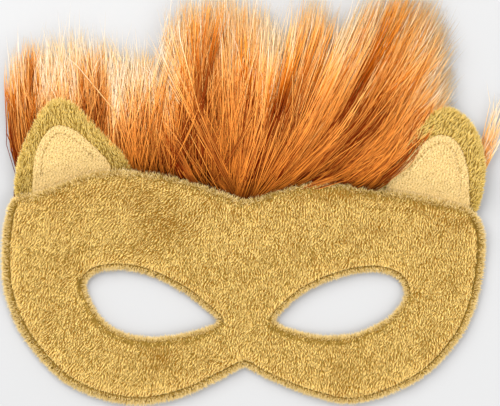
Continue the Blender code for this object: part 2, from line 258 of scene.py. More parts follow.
# An opaque finish with its roughness and specular level, still without a colour
def newMaterial(name, roughness, specular):
    made = bpy.data.materials.new(name)
    made.use_nodes = True
    shader = made.node_tree.nodes["Principled BSDF"]
    shader.inputs["Roughness"].default_value = roughness
    shader.inputs["Specular IOR Level"].default_value = specular
    return made, made.node_tree.nodes, made.node_tree.links, shader


# Colour ramp with an element for each (place, colour) of the stops
def addRamp(nodes, stops):
    ramp = nodes.new("ShaderNodeValToRGB")
    while len(ramp.color_ramp.elements) < len(stops):
        ramp.color_ramp.elements.new(0.5)
    for element, (at, colour) in zip(ramp.color_ramp.elements, stops):
        element.position = at
        element.color = (*colour, 1.0)
    return ramp


# Fibre finish: colour runs from root to tip with v, and from its dark kind to its light kind with u
def fibreMaterial(name, darkStops, lightStops, roughness, specular):
    made, nodes, links, shader = newMaterial(name, roughness, specular)
    uvMap = nodes.new("ShaderNodeUVMap")
    uvMap.uv_map = "hairUv"
    parts = nodes.new("ShaderNodeSeparateXYZ")
    links.new(uvMap.outputs["UV"], parts.inputs[0])
    dark, light = addRamp(nodes, darkStops), addRamp(nodes, lightStops)
    links.new(parts.outputs["Y"], dark.inputs["Fac"])
    links.new(parts.outputs["Y"], light.inputs["Fac"])
    blend = nodes.new("ShaderNodeMix")
    blend.data_type = "RGBA"
    links.new(parts.outputs["X"], blend.inputs["Factor"])
    links.new(dark.outputs["Color"], blend.inputs["A"])
    links.new(light.outputs["Color"], blend.inputs["B"])
    links.new(blend.outputs["Result"], shader.inputs["Base Color"])
    return made


cloth = {
    "roughness": 0.95,
    "specular": 0.1,
    "detail": 6.0,
    "noiseRoughness": 0.65,
    "between": (0.35, 0.65),  # where on the noise the two colours lie
    "bumpDepth": 0.0004,
}


# Cloth under the fibres: two colours mixed by a fine noise, with the same noise as bump
def groundMaterial(name, low, high, grain, bump):
    made, nodes, links, shader = newMaterial(name, cloth["roughness"], cloth["specular"])
    place = nodes.new("ShaderNodeTexCoord")
    noise = nodes.new("ShaderNodeTexNoise")
    noise.inputs["Scale"].default_value = grain
    noise.inputs["Detail"].default_value = cloth["detail"]
    noise.inputs["Roughness"].default_value = cloth["noiseRoughness"]
    links.new(place.outputs["Object"], noise.inputs["Vector"])
    ramp = addRamp(nodes, list(zip(cloth["between"], (low, high))))
    links.new(noise.outputs["Fac"], ramp.inputs["Fac"])
    links.new(ramp.outputs["Color"], shader.inputs["Base Color"])
    lump = nodes.new("ShaderNodeBump")
    lump.inputs["Strength"].default_value = bump
    lump.inputs["Distance"].default_value = cloth["bumpDepth"]
    links.new(noise.outputs["Fac"], lump.inputs["Height"])
    links.new(lump.outputs["Normal"], shader.inputs["Normal"])
    return made


goldPile = fibreMaterial(
    "goldPile",
    [(0.0, (0.09, 0.034, 0.001)), (0.35, (0.215, 0.082, 0.0015)), (1.0, (0.41, 0.172, 0.005))],
    [(0.0, (0.38, 0.22, 0.034)), (0.35, (0.90, 0.60, 0.155)), (1.0, (1.0, 0.86, 0.39))],
    0.8, 0.06,
)
rimPile = fibreMaterial(
    "rimPile",
    [(0.0, (0.10, 0.055, 0.006)), (0.4, (0.34, 0.20, 0.032)), (1.0, (0.62, 0.42, 0.13))],
    [(0.0, (0.44, 0.28, 0.06)), (0.4, (0.86, 0.63, 0.23)), (1.0, (0.94, 0.83, 0.55))],
    0.8, 0.06,
)
earPile = fibreMaterial(
    "earPile",
    [(0.0, (0.09, 0.055, 0.005)), (0.4, (0.24, 0.145, 0.015)), (1.0, (0.48, 0.30, 0.045))],
    [(0.0, (0.38, 0.24, 0.036)), (0.4, (0.84, 0.58, 0.13)), (1.0, (1.0, 0.84, 0.38))],
    0.8, 0.06,
)
velourPile = fibreMaterial(
    "velourPile",
    [(0.0, (0.18, 0.11, 0.025)), (0.5, (0.30, 0.185, 0.045)), (1.0, (0.43, 0.28, 0.085))],
    [(0.0, (0.72, 0.50, 0.20)), (0.5, (0.90, 0.70, 0.35)), (1.0, (0.97, 0.82, 0.52))],
    0.85, 0.06,
)
maneFibre = fibreMaterial(
    "maneFibre",
    [
        (0.0, (0.05, 0.003, 0.0001)), (0.16, (0.16, 0.012, 0.0001)), (0.45, (0.23, 0.028, 0.0002)),
        (0.66, (0.60, 0.145, 0.003)), (0.82, (0.92, 0.37, 0.04)), (1.0, (0.97, 0.68, 0.32)),
    ],
    [
        (0.0, (0.16, 0.03, 0.002)), (0.06, (0.46, 0.14, 0.015)), (0.16, (0.72, 0.245, 0.034)),
        (0.45, (0.91, 0.375, 0.072)), (0.70, (0.97, 0.53, 0.16)), (0.86, (0.97, 0.69, 0.33)),
        (1.0, (0.97, 0.84, 0.66)),
    ],
    0.6, 0.03,
)
plushGround = groundMaterial("plushGround", (0.13, 0.075, 0.010), (0.24, 0.14, 0.022), 900.0, 0.6)
backGround = groundMaterial("backGround", (0.34, 0.20, 0.045), (0.55, 0.34, 0.09), 1100.0, 0.8)
velourGround = groundMaterial("velourGround", (0.50, 0.33, 0.11), (0.80, 0.58, 0.24), 2600.0, 0.5)
# the seam's thread, made darker as painted shade of the stitched groove it lies in
grooveThreadAndShade = groundMaterial("grooveThreadAndShade", (0.09, 0.052, 0.007), (0.17, 0.10, 0.015), 4000.0, 0.4)
patchThread = groundMaterial("patchThread", (0.30, 0.19, 0.045), (0.48, 0.32, 0.10), 4000.0, 0.4)
stripWeave = groundMaterial("stripWeave", (0.08, 0.022, 0.005), (0.20, 0.06, 0.012), 3000.0, 0.7)
print("materials made")

# Front and back layer

layers = {
    "sidePoints": 130,
    "bridgePoints": 22,
    # columns of points, by their distance from the eye hole and from the outer edge
    "frontFromEye": [0.0, 0.35, 0.8, 1.3, 1.6, 1.9, 2.2, 2.6, 3.3, 4.4],
    "frontFromEdge": [5.0, 4.0, 3.4, 3.1, 2.8, 2.5, 2.1, 1.4, 0.8, 0.35, 0.0],
    "backFromEye": [0.0, 0.3, 0.8, 2.0],
    "backFromEdge": [2.0, 0.8, 0.3, 0.0],
    "frontBetween": 8,
    "backBetween": 3,
    "grooveMiddle": 10.0,  # the middle of the face is this far up
    "grooveAngle": [-160, -120, -90, -60, -30, 0, 90, 180],  # round the middle of the face, from +X
    "edgeGroove": [2.7, 2.3, 1.9, 1.6, 1.8, 2.3, 2.5, 2.8],  # how far in the stitching is at these angles
    "widest": 2.8,  # the columns' distances are for a groove this far in
    "eyeGroove": 1.6,  # and from the eye holes
    "widestEye": 1.9,
    "frontBottom": 1.5,
    # height over the bottom, by the distance from the edge as a share of the stitching's
    "frontAt": [0.0, 0.2, 0.45, 0.75, 0.9, 1.0, 1.1, 1.3, 1.9, 3.0],
    "frontHeight": [0.9, 1.5, 1.9, 2.0, 1.75, 1.3, 1.75, 2.2, 2.6, 2.8],
    # and where the pile hides the stitching
    "filledHeight": [0.9, 1.6, 2.1, 2.2, 2.25, 2.3, 2.35, 2.45, 2.65, 2.8],
    # how far the eye holes' groove is filled, from which way on, over how much
    "eyeFilled": (0.9, 0.1, 0.5),
    "backThickness": 1.2,
    "backEdge": (0.45, 0.55, 2.5),  # its share at the edge, what the rounding adds, and how steeply
}


# The stitching's distance from the outer edge, read off the table by the angle round the face's middle
def grooveAt(x, y):
    angle = np.degrees(np.arctan2(y - layers["grooveMiddle"], x))
    return np.interp(angle, layers["grooveAngle"], layers["edgeGroove"], period=360.0)


# Distance to the nearest edge of the face as a share of the stitching's, and the way to that edge
def edgeShare(points):
    share, towards = nearest(points, coarseOutline)
    share = share / grooveAt(points[:, 0], points[:, 1])
    onEye = np.zeros(len(points), bool)
    for loop in coarseEyes:
        other, way = nearest(points, loop)
        closer = other / layers["eyeGroove"] < share
        share = np.where(closer, other / layers["eyeGroove"], share)
        towards = np.where(closer[:, None], way, towards)
        onEye |= closer
    return share, towards, onEye


# 1 along the brow, between the ears' outer edges, and 0 elsewhere
def browShare(x, y):
    below, width = maskShape["browBand"]
    ends, fade = maskShape["browEnds"]
    return ease((y - browAt(x) + below) / width) * ease((ends - np.abs(x)) / fade)


# How far the pile fills the stitched groove: along the brow and under the eye holes, where the way to
# the nearest edge goes up
def filledAt(x, y, towards, onEye):
    most, start, width = layers["eyeFilled"]
    return np.where(onEye, most * ease((towards[:, 1] + start) / width), browShare(x, y))


# Upper side of the front: bottom + liftAt + height, where the height is read off frontHeight by the
# share, or off filledHeight as far as the pile fills the groove
def frontTop(x, y, share, filled):
    height = np.interp(share, layers["frontAt"], layers["frontHeight"])
    level = np.interp(share, layers["frontAt"], layers["filledHeight"])
    return layers["frontBottom"] + liftAt(x, y) + height + (level - height) * filled


# Half of the face as a ring round its eye hole: ray i goes from the eye's centre through point i of
# the half's outline, and column j stands at a set distance from the eye hole or from the outline
def halfFace(side, kind):
    dip = maskShape["browDip"] * loopSteps
    notch = (len(maskShape["brow"]) + maskShape["noseNotch"]) * loopSteps
    bridge = np.linspace(outline[dip], outline[notch], layers["bridgePoints"])[1:-1]
    if side == 0:
        edge = evenly(np.vstack([outline[notch:], outline[: dip + 1]]), layers["sidePoints"])
        ends = np.vstack([edge, bridge])
    else:
        edge = evenly(outline[dip : notch + 1], layers["sidePoints"])
        ends = np.vstack([edge, bridge[::-1]])
    centre = np.array(maskShape["eyeCentres"][side])
    rays = ends - centre
    reach = np.linalg.norm(rays, axis=1)
    eye = eyeLoops[side] - centre
    start = np.interp(
        np.arctan2(rays[:, 1], rays[:, 0]), np.arctan2(eye[:, 1], eye[:, 0]),
        np.linalg.norm(eye, axis=1), period=2.0 * np.pi,
    )
    wide = grooveAt(ends[:, 0], ends[:, 1])[:, None] / layers["widest"]
    near = start[:, None] + np.array(layers[kind + "FromEye"]) * layers["eyeGroove"] / layers["widestEye"]
    far = reach[:, None] - np.array(layers[kind + "FromEdge"]) * wide
    share = np.linspace(0.0, 1.0, layers[kind + "Between"] + 2)[1:-1]
    middle = near[:, -1:] + (far[:, :1] - near[:, -1:]) * share
    along = np.hstack([near, middle, far])
    return centre + (rays / reach[:, None])[:, None, :] * along[..., None]


# A layer of the face: an upper and a lower grid over each half, joined by walls round the edges.
# The halves meet along the bridge of the nose, where there is no wall.
def layerPiece(name, kind, finish, lowAt, highAt):
    points, faces, count = [], [], 0
    for side in (0, 1):
        grid = halfFace(side, kind)
        rays, columns = grid.shape[:2]
        flat = grid.reshape(-1, 2)
        share, towards, onEye = edgeShare(flat)
        filled = filledAt(flat[:, 0], flat[:, 1], towards, onEye)
        points.append(np.column_stack([flat, highAt(flat[:, 0], flat[:, 1], share, filled)]))
        points.append(np.column_stack([flat, lowAt(flat[:, 0], flat[:, 1])]))
        upper = count + np.arange(rays * columns).reshape(rays, columns)
        upper = np.vstack([upper, upper[:1]])
        lower = upper + rays * columns
        outer = np.stack([upper[: layers["sidePoints"], -1], lower[: layers["sidePoints"], -1]], 1)
        faces += [gridFaces(upper), gridFaces(lower[:, ::-1])]
        faces += [gridFaces(np.stack([lower[:, 0], upper[:, 0]], 1)), gridFaces(outer)]
        count += 2 * rays * columns
    return makePiece(name, np.vstack(points), np.vstack(faces), finish, merge=True)


# Lower side of the front, pushed up along the brow with it: bottom + liftAt
def frontLow(x, y):
    return layers["frontBottom"] + liftAt(x, y)


# Upper side of the back: thickness * (0.45 + 0.55*sqrt(1 - (1 - 2.5*share)^2))
def backHigh(x, y, share, filled):
    edge, more, steep = layers["backEdge"]
    return layers["backThickness"] * (edge + more * rounded(share * steep, 1.0))


frontLayer = layerPiece("frontLayer", "front", plushGround, frontLow, frontTop)
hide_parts("face_front")
backLayer = layerPiece("backLayer", "back", backGround, lambda x, y: np.zeros_like(x), backHigh)
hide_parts("face_back")


# Short pile

tuftUv = np.array([(-0.015, 0.0), (0.015, 0.0), (0.0, 0.08), (0.0, 1.0)])  # added to (tint, 0), by corner
tintBetween = (0.02, 0.98)


# A tuft is a pyramid on a three-cornered foot: its tip is length along `way` from the foot, and u and
# v carry its tint and its height. Face order keeps every side facing out. A tuft that stands straight up
# is tipped a little, so that it has a side.
def tuftPiece(name, finish, foot, way, length, width, tint):
    count = len(foot)
    way = way / np.linalg.norm(way, axis=1)[:, None]
    level = np.hypot(way[:, 0], way[:, 1]) < 1e-4
    way = np.where(level[:, None], np.array([0.01, 0.0, 1.0]), way)
    side = np.column_stack([-way[:, 1], way[:, 0], np.zeros(count)])
    side /= np.linalg.norm(side, axis=1)[:, None]
    up = np.cross(way, side)
    half = 0.5 * width[:, None]
    tip = foot + way * length[:, None]
    points = np.stack([foot + side * half, foot - side * half, foot + up * half, tip], 1).reshape(-1, 3)
    order = np.array([(1, 0, 3), (0, 2, 3), (2, 1, 3), (0, 1, 2)])
    faces = (4 * np.arange(count)[:, None, None] + order).reshape(-1, 3)
    tint = np.clip(tint, *tintBetween)
    uv = tint[:, None, None] * (1.0, 0.0) + tuftUv
    return makePiece(name, points, faces, finish, uv=uv.reshape(-1, 2), smooth=False)


facePile = {
    "pitch": 0.40,  # from clump to clump
    "tufts": 1,  # in a clump
    "clumpLength": 0.12,
    "clumpSpread": 0.05,
    "length": (1.50, 0.3),
    "width": (0.37, 0.08),
    "rise": (25.0, 0.0, 7.0),  # angle over the cloth, and its spread from clump to clump and within one
    "riseBetween": (8.0, 65.0),
    "leanSpread": 9.0,
    "shortest": 0.8,
    "thinnest": 0.2,
    "drawnIn": 0.6,
    "sink": 0.3,
    "tintSpread": (0.0, 0.16),  # from clump to clump, and within one
    "grain": 0.50,  # how much the tint changes with the grain
    "grainWaves": {"number": 16, "turn": (-60.0, 35.0), "length": (0.86, 1.35), "seed": 71},
    "tint": 0.655,
    "tintWaves": [(0.07, 30.0, 5), (0.06, 8.0, 6)],  # slow changes of tint: how much, how long, seed
    "leanWaves": [(13.0, 16.0, 3), (12.0, 5.5, 4)],  # and of the lean
    "edging": {"pitch": 0.42, "length": (1.15, 0.25)},
    "browBand": (4.6, 2.6, 0.16),  # a darker band: its distance from the brow, width and depth
    "browBandEnd": (50.0, 20.0),
    # share of tufts that reach over the stitching: everywhere, where it is filled, and at the chin
    "cover": (0.13, 0.9, 0.14),
    "chin": (-14.0, 8.0),
    "bare": 1.06,  # shares of the stitching's distance: no tuft stands nearer the edge, all but some
    "strayRate": (1.25, 0.2),
    "strayFrom": (0.6, 0.4),
    "cutTo": 0.5,  # tufts cut short keep this length
    "edgingTo": 1.9,  # how far the edging reaches, as a share of the stitching's distance
    # How the pile is brushed: x, y, reach and lean, from straight down towards -X
    "brushed": [
        (-88, 30, 26, 30), (-84, 0, 24, 30), (-62, -26, 24, 26), (-30, -24, 22, 22), (-62, 44, 16, 36),
        (-34, 45, 12, 60), (-14, 44, 12, 16), (-8, 20, 18, 6), (0, -12, 12, 24), (14, 30, 20, 6),
        (28, 48, 10, -8), (44, 34, 18, -4), (58, 49, 9, 40), (30, -24, 20, 4), (60, -24, 22, 12),
        (86, -2, 20, 10), (88, 24, 20, 4), (74, 36, 14, -8), (86, 44, 8, 34),
    ],
    # Painted shade: patches where the pile stands the other way and looks darker under the light: x, y, half
    # width, half height, depth
    "dark": [
        (-32, 41.5, 13, 7.5, 0.46), (-44, 50, 10, 5, 0.24), (-34.5, -15, 6, 6, 0.51), (55, 38, 7, 3.2, 0.43),
        (89, 41, 8, 3.4, 0.38), (46, 53, 24, 2.8, 0.51), (72, 47.5, 14, 2.8, 0.41), (30, 30, 20, 8, 0.07),
        (-72, 52, 16, 4, 0.22), (60, -30, 22, 5, 0.08), (34, 8, 8, 5, 0.08), (-14, 47, 7, 4, 0.19),
    ],
}


# Chance that a tuft reaches over the stitching: where the groove is filled, and now and then elsewhere
def coverAt(y, filled):
    anywhere, hidden, low = facePile["cover"]
    chin, width = facePile["chin"]
    return np.clip(anywhere + hidden * filled + low * ease((chin - y) / width), 0.0, 1.0)


# Weighted mean of the brushed table's leans, weight exp(-(distance / reach)^2), plus slow waves
def brushedWay(x, y):
    total, weights = np.zeros_like(x), np.full_like(x, 1e-6)
    for atX, atY, reach, lean in facePile["brushed"]:
        weight = np.exp(-((x - atX) ** 2 + (y - atY) ** 2) / reach**2)
        total += weight * lean
        weights += weight
    return np.radians(total / weights + waved(x, y, facePile["leanWaves"]))


# Tint of the pile: uneven, and less in the patches of painted shade and in a band under the brow
def patchTint(x, y):
    tint = facePile["tint"] + waved(x, y, facePile["tintWaves"]) - spotted(x, y, facePile["dark"])
    at, width, depth = facePile["browBand"]
    end, fade = facePile["browBandEnd"]
    return tint - depth * ease((end - x) / fade) * np.exp(-(((browAt(x) - y - at) / width) ** 2))


# Chance points on a grid with the pitch given, each moved by up to half a pitch
def scattered(low, high, pitch, chance):
    x, y = np.meshgrid(np.arange(low[0], high[0], pitch), np.arange(low[1], high[1], pitch))
    points = np.column_stack([x.ravel(), y.ravel()])
    return points + chance.uniform(-0.5, 0.5, points.shape) * pitch


# Tilts each way by the slope of the surface along it: (h(foot + way) - h(foot)) is added to its rise
def overSlope(foot, ways, heightAt):
    x, y = foot[:, 0], foot[:, 1]
    slope = heightAt(x + ways[:, 0], y + ways[:, 1]) - heightAt(x, y)
    return np.column_stack([ways[:, :2], ways[:, 2] + slope])


# Grain of the brushed pile, about 0 with a spread of 1: the sum of sin(2*pi*(x*cos(a)+y*sin(a))/length + p)
# over waves that lie across the brushing, so the tint changes quickly from tuft to tuft
def grainAt(x, y):
    waves = facePile["grainWaves"]
    chance, number = np.random.default_rng(waves["seed"]), waves["number"]
    turns = np.radians(chance.uniform(*waves["turn"], number))
    lengths = chance.uniform(*waves["length"], number)
    phases = chance.uniform(0.0, 2.0 * np.pi, number)
    total = np.zeros_like(x)
    for turn, length, phase in zip(turns, lengths, phases):
        total += np.sin(2.0 * np.pi * (x * np.cos(turn) + y * np.sin(turn)) / length + phase)
    return total * math.sqrt(2.0 / number)


# Clumps of tufts over a flat region: the tufts of a clump stand in a narrow row along its way, and
# their tips draw in to its middle line
def clumpTufts(centres, lean, settings, chance):
    count = settings["tufts"]
    lean = np.repeat(lean + np.radians(chance.normal(0.0, settings["leanSpread"], len(centres))), count)
    way = np.column_stack([-np.sin(lean), -np.cos(lean)])
    across = np.column_stack([-way[:, 1], way[:, 0]])
    along = chance.uniform(-1.0, 1.0, len(lean)) * settings["clumpLength"]
    aside = chance.normal(0.0, settings["clumpSpread"], len(lean))
    foot = np.repeat(centres, count, 0) + way * along[:, None] + across * aside[:, None]
    rise = settings["rise"][0] + np.repeat(chance.normal(0.0, settings["rise"][1], len(centres)), count)
    rise = rise + chance.normal(0.0, settings["rise"][2], len(lean))
    rise = np.radians(np.clip(rise, *settings["riseBetween"]))
    length = np.clip(chance.normal(*settings["length"], len(lean)), settings["shortest"], None)
    width = np.clip(chance.normal(*settings["width"], len(lean)), settings["thinnest"], None)
    flat = way - across * (settings["drawnIn"] * aside / length)[:, None]
    ways = np.column_stack([flat * np.cos(rise)[:, None], np.sin(rise)])
    tint = np.repeat(chance.normal(0.0, settings["tintSpread"][0], len(centres)), count)
    tint = tint + chance.normal(0.0, settings["tintSpread"][1], len(lean))
    tint = tint + settings["grain"] * grainAt(foot[:, 0], foot[:, 1])
    return foot, ways, length, width, tint


# Pile over the whole face, and shorter, steeper pile close to the stitching
def facePileTufts(settings, chance, edging):
    centres = scattered(outline.min(0), outline.max(0), settings["pitch"], chance)
    centres = centres[inside(centres, coarseOutline)]
    if edging:
        share = edgeShare(centres)[0]
        centres = centres[(share > 1.0) & (share < settings["edgingTo"])]
    lean = brushedWay(centres[:, 0], centres[:, 1])
    foot, ways, length, width, tint = clumpTufts(centres, lean, settings, chance)
    kept = inside(foot, coarseOutline)
    for loop in coarseEyes:
        kept &= ~inside(foot, loop)
    foot, ways, length, width, tint = (v[kept] for v in (foot, ways, length, width, tint))
    share, towards, onEye = edgeShare(foot)
    # tufts that point over the stitching are cut short there, all but a few
    groove = np.where(onEye, layers["eyeGroove"], grooveAt(foot[:, 0], foot[:, 1]))
    speed = (ways[:, :2] * towards).sum(1)
    room = (share - 1.0) * groove / np.maximum(speed, 1e-3)
    filled = filledAt(foot[:, 0], foot[:, 1], towards, onEye)
    cover = coverAt(foot[:, 1], filled)
    stray = chance.random(len(length)) < cover
    cut = np.minimum(length, np.maximum(room, settings["cutTo"]))
    length = np.where((speed > 0.0) & ~stray, cut, length)
    rate, least = settings["strayRate"]
    start, sooner = settings["strayFrom"]
    kept = (chance.random(len(length)) < rate * (cover - least)) & (share > start - sooner * filled)
    kept |= share > settings["bare"]
    height = frontTop(foot[:, 0], foot[:, 1], share, filled) - settings["sink"]
    tint = tint + patchTint(foot[:, 0], foot[:, 1])
    foot = np.column_stack([foot, height])
    return [v[kept] for v in (foot, ways, length, width, tint)]


# Groups of tufts put together into one, value by value
def addTufts(*groups):
    return [np.concatenate(parts) for parts in zip(*groups)]


edgingPile = dict(facePile, **facePile["edging"])
faceTufts = addTufts(
    facePileTufts(facePile, np.random.default_rng(11), False),
    facePileTufts(edgingPile, np.random.default_rng(12), True),
)
leftHalf = faceTufts[0][:, 0] < 0.0
facePiles = [
    tuftPiece("facePileLeft", goldPile, *[v[leftHalf] for v in faceTufts]),
    tuftPiece("facePileRight", goldPile, *[v[~leftHalf] for v in faceTufts]),
]

rimSettings = {
    "perMillimetre": 21.0,
    "length": (1.6, 0.35),
    "width": (0.38, 0.08),
    "inset": 1.5,  # from the cloth's edge to the middle of the rounding
    "radius": (1.45, 0.95),  # across and up
    "middle": 0.85,  # height of the middle over the layer's bottom
    "turn": (-20.0, 125.0),  # from under the edge to the stitching
    "over": 52.0,  # how far each tuft is brushed over from the rounding's own normal
    "aside": (16.0, 20.0),  # how far it leans along the edge, by clump and by tuft
    "lowest": -14.0,
    "tintSpread": (0.07, 0.18),
    # painted shade by the stitching's groove and painted light at the thin edge, where light comes through
    # the pile
    "grooveShadeAndEdgeLight": 0.30,  # how much darker it is by the stitching than at the edge
    "browTint": 0.36,
    "browLonger": 0.3,  # how much longer the tufts are along the brow, as a share
    "browUneven": 0.8,
    "points": 1200,  # round the loop
    "clumpSize": 1.8,
    "turnShare": 1.5,  # mm of clump to each radian of turn
    "raisedSpread": 8.0,
    "shortest": 0.7,
    "thinnest": 0.2,
    "fallOver": 1.8,  # radians of turn over which it gets darker
}


# Tufts round a rolled edge: foot = edge - inset*n + across*cos(a)*n + up*sin(a)*z, where n points
# out of the plush. Each tuft leaves at the angle a less `over`, so it lies over the rounding.
def rimTufts(loop, out, base, settings, seed, tint, onFace=False):
    chance = np.random.default_rng(seed)
    length = lengthOf(loop)
    count = int(length * settings["perMillimetre"])
    points = settings["points"]
    fine = evenly(loop, points, closed=True)
    normals = out * outwards(fine)
    at = chance.uniform(0.0, points, count)
    step = at.astype(int)
    share = (at - step)[:, None]
    spot = fine[step] * (1.0 - share) + fine[(step + 1) % points] * share
    normal = normals[step]
    tangent = np.column_stack([-normal[:, 1], normal[:, 0]])
    turn = np.radians(chance.uniform(*settings["turn"], count))
    across, rise = settings["radius"]
    wide = grooveAt(spot[:, 0], spot[:, 1]) / layers["widest"] if onFace else np.ones(count)
    brow = browShare(spot[:, 0], spot[:, 1]) if onFace else np.zeros(count)
    foot = spot + normal * (wide * (across * np.cos(turn) - settings["inset"]))[:, None]
    height = base(foot[:, 0], foot[:, 1]) + settings["middle"] + rise * np.sin(turn)
    clump = uneven(at * length / points, turn * settings["turnShare"], settings["clumpSize"], seed + 50)
    aside = settings["aside"][0] * clump + chance.normal(0.0, settings["aside"][1], count)
    aside = np.radians(aside * (1.0 + brow))
    tossed = chance.normal(0.0, settings["raisedSpread"], count) * (1.0 + brow)
    raised = np.degrees(turn) - settings["over"] + tossed
    raised = np.radians(np.maximum(raised, settings["lowest"]))
    flat = normal * np.cos(aside)[:, None] + tangent * np.sin(aside)[:, None]
    ways = np.column_stack([flat * np.cos(raised)[:, None], np.sin(raised)])
    sizes = np.clip(chance.normal(*settings["length"], count), settings["shortest"], None)
    sizes = sizes * (1.0 + settings["browLonger"] * brow)
    widths = np.clip(chance.normal(*settings["width"], count), settings["thinnest"], None)
    tints = settings["tintSpread"][0] * clump + chance.normal(0.0, settings["tintSpread"][1], count)
    tints = tints * (1.0 + settings["browUneven"] * brow) + tint + (settings["browTint"] - tint) * brow
    # painted shade: tufts turned towards the stitching's groove are darker; painted light: those under the
    # thin edge are paler
    tints = tints + settings["grooveShadeAndEdgeLight"] * (0.5 - ease(turn / settings["fallOver"])) * (1.0 - brow)
    return [np.column_stack([foot, height]), ways, sizes, widths, tints]


eyeRim = dict(rimSettings, inset=0.9, radius=(0.85, 0.95), grooveShadeAndEdgeLight=0.16)
faceRims = addTufts(
    rimTufts(coarseOutline, 1.0, frontLow, rimSettings, 21, 0.56, onFace=True),
    rimTufts(coarseEyes[0], -1.0, frontLow, eyeRim, 22, 0.52),
    rimTufts(coarseEyes[1], -1.0, frontLow, eyeRim, 23, 0.52),
)
rimPiles = tuftPiece("rimPile", rimPile, *faceRims)
backRim = dict(
    rimSettings, perMillimetre=7.0, middle=0.55, radius=(0.9, 0.3), inset=1.2, turn=(-20.0, 80.0),
    lowest=-5.0, over=40.0,
)
backLow = 0.1


# The rear rim starts at one level, just over the floor
def backBase(x, y):
    return backLow + 0.0 * x


backRimPile = tuftPiece("backRimPile", rimPile, *addTufts(*[
    rimTufts(loop, out, backBase, backRim, seed, 0.42)
    for loop, out, seed in ((coarseOutline, 1.0, 24), (coarseEyes[0], -1.0, 25), (coarseEyes[1], -1.0, 26))
]))
print("face pile made")

# Stitches: short thread ends that dip into the cloth, one after another along a line

stitches = {
    "thickness": 0.36,
    "pitch": 2.4,
    "fill": 0.82,  # share of the pitch that a stitch takes
    "sides": 5,
    "rings": 5,
    "points": 40,  # of the line, to each stitch
    "linePoints": (900, 400),  # round the outer edge, and round an eye hole or a patch
    "arch": (0.9, 0.35),  # how far its middle stands up and its ends go down, in thicknesses
    "blunt": 0.12,
    "over": 0.1,  # height over the groove
    "filledFrom": 0.4,  # no stitch shows where the groove is filled by more
}


# Each stitch is a tube along its share of the path, raised by 0.9*sin(pi*s) - 0.35 so that both ends go
# down, with radius = thickness/2 * sqrt(1 - (2s - 1)^4)
def stitchPiece(name, finish, lines, settings):
    points, faces, count = [], [], 0
    for path, closed in lines:
        total = lengthOf(path) if closed else np.linalg.norm(np.diff(path, axis=0), axis=1).sum()
        number = int(total / settings["pitch"])
        fine = evenly(path, settings["points"] * number, closed=closed)
        s = np.linspace(0.0, 1.0, settings["rings"])
        at = (np.arange(number)[:, None] + settings["fill"] * s) * (len(fine) - 1) / number
        middle = np.stack([np.interp(at, np.arange(len(fine)), fine[:, k]) for k in range(3)], -1)
        arch, lower = settings["arch"]
        middle[..., 2] += settings["thickness"] * (arch * np.sin(np.pi * s) - lower)
        along = np.gradient(middle, axis=1)
        along /= np.linalg.norm(along, axis=2)[..., None]
        side = np.stack([-along[..., 1], along[..., 0], 0.0 * along[..., 0]], -1)
        side /= np.linalg.norm(side, axis=2)[..., None]
        up = np.cross(along, side)
        angle = 2.0 * np.pi * np.arange(settings["sides"]) / settings["sides"]
        radius = np.sqrt(np.clip(1.0 - (2.0 * s - 1.0) ** 4, settings["blunt"], 1.0))
        radius = 0.5 * settings["thickness"] * radius
        ring = side[:, :, None, :] * np.cos(angle)[:, None] + up[:, :, None, :] * np.sin(angle)[:, None]
        tube = middle[:, :, None, :] + ring * radius[None, :, None, None]
        numbers = count + np.arange(tube[..., 0].size).reshape(tube.shape[:3])
        numbers = np.concatenate([numbers, numbers[:, :, :1]], 2)
        for one in numbers:
            faces.append(gridFaces(one))
            fan = np.arange(1, settings["sides"] - 1)
            faces.append(np.column_stack([0 * fan + one[0, 0], one[0, fan], one[0, fan + 1]]))
            faces.append(np.column_stack([0 * fan + one[-1, 0], one[-1, fan + 1], one[-1, fan]]))
        points.append(tube.reshape(-1, 3))
        count += tube[..., 0].size
    return makePiece(name, np.vstack(points), np.vstack(faces), finish, merge=True)


# The part of a closed line where `kept` holds, as one open line
def openLine(line, kept):
    start = int(np.argmax(kept & ~np.roll(kept, 1)))
    return np.roll(line, -start, 0)[np.roll(kept, -start)]


# The line of stitches at the distance given from a loop, left out where the pile fills the groove
def seamLine(loop, distance):
    line = movedLoop(loop, distance)
    share, towards, onEye = edgeShare(line)
    filled = filledAt(line[:, 0], line[:, 1], towards, onEye)
    height = frontTop(line[:, 0], line[:, 1], np.ones(len(line)), filled) + stitches["over"]
    return openLine(np.column_stack([line, height]), filled < stitches["filledFrom"]), False


seamLoop = evenly(outline, stitches["linePoints"][0], closed=True)
seamDepth = grooveAt(seamLoop[:, 0], seamLoop[:, 1])[:, None]
seamStitches = stitchPiece("seamStitches", grooveThreadAndShade, [
    seamLine(seamLoop, -seamDepth),
    seamLine(evenly(coarseEyes[0], stitches["linePoints"][1], closed=True), layers["eyeGroove"]),
    seamLine(evenly(coarseEyes[1], stitches["linePoints"][1], closed=True), layers["eyeGroove"]),
], stitches)

# Ears

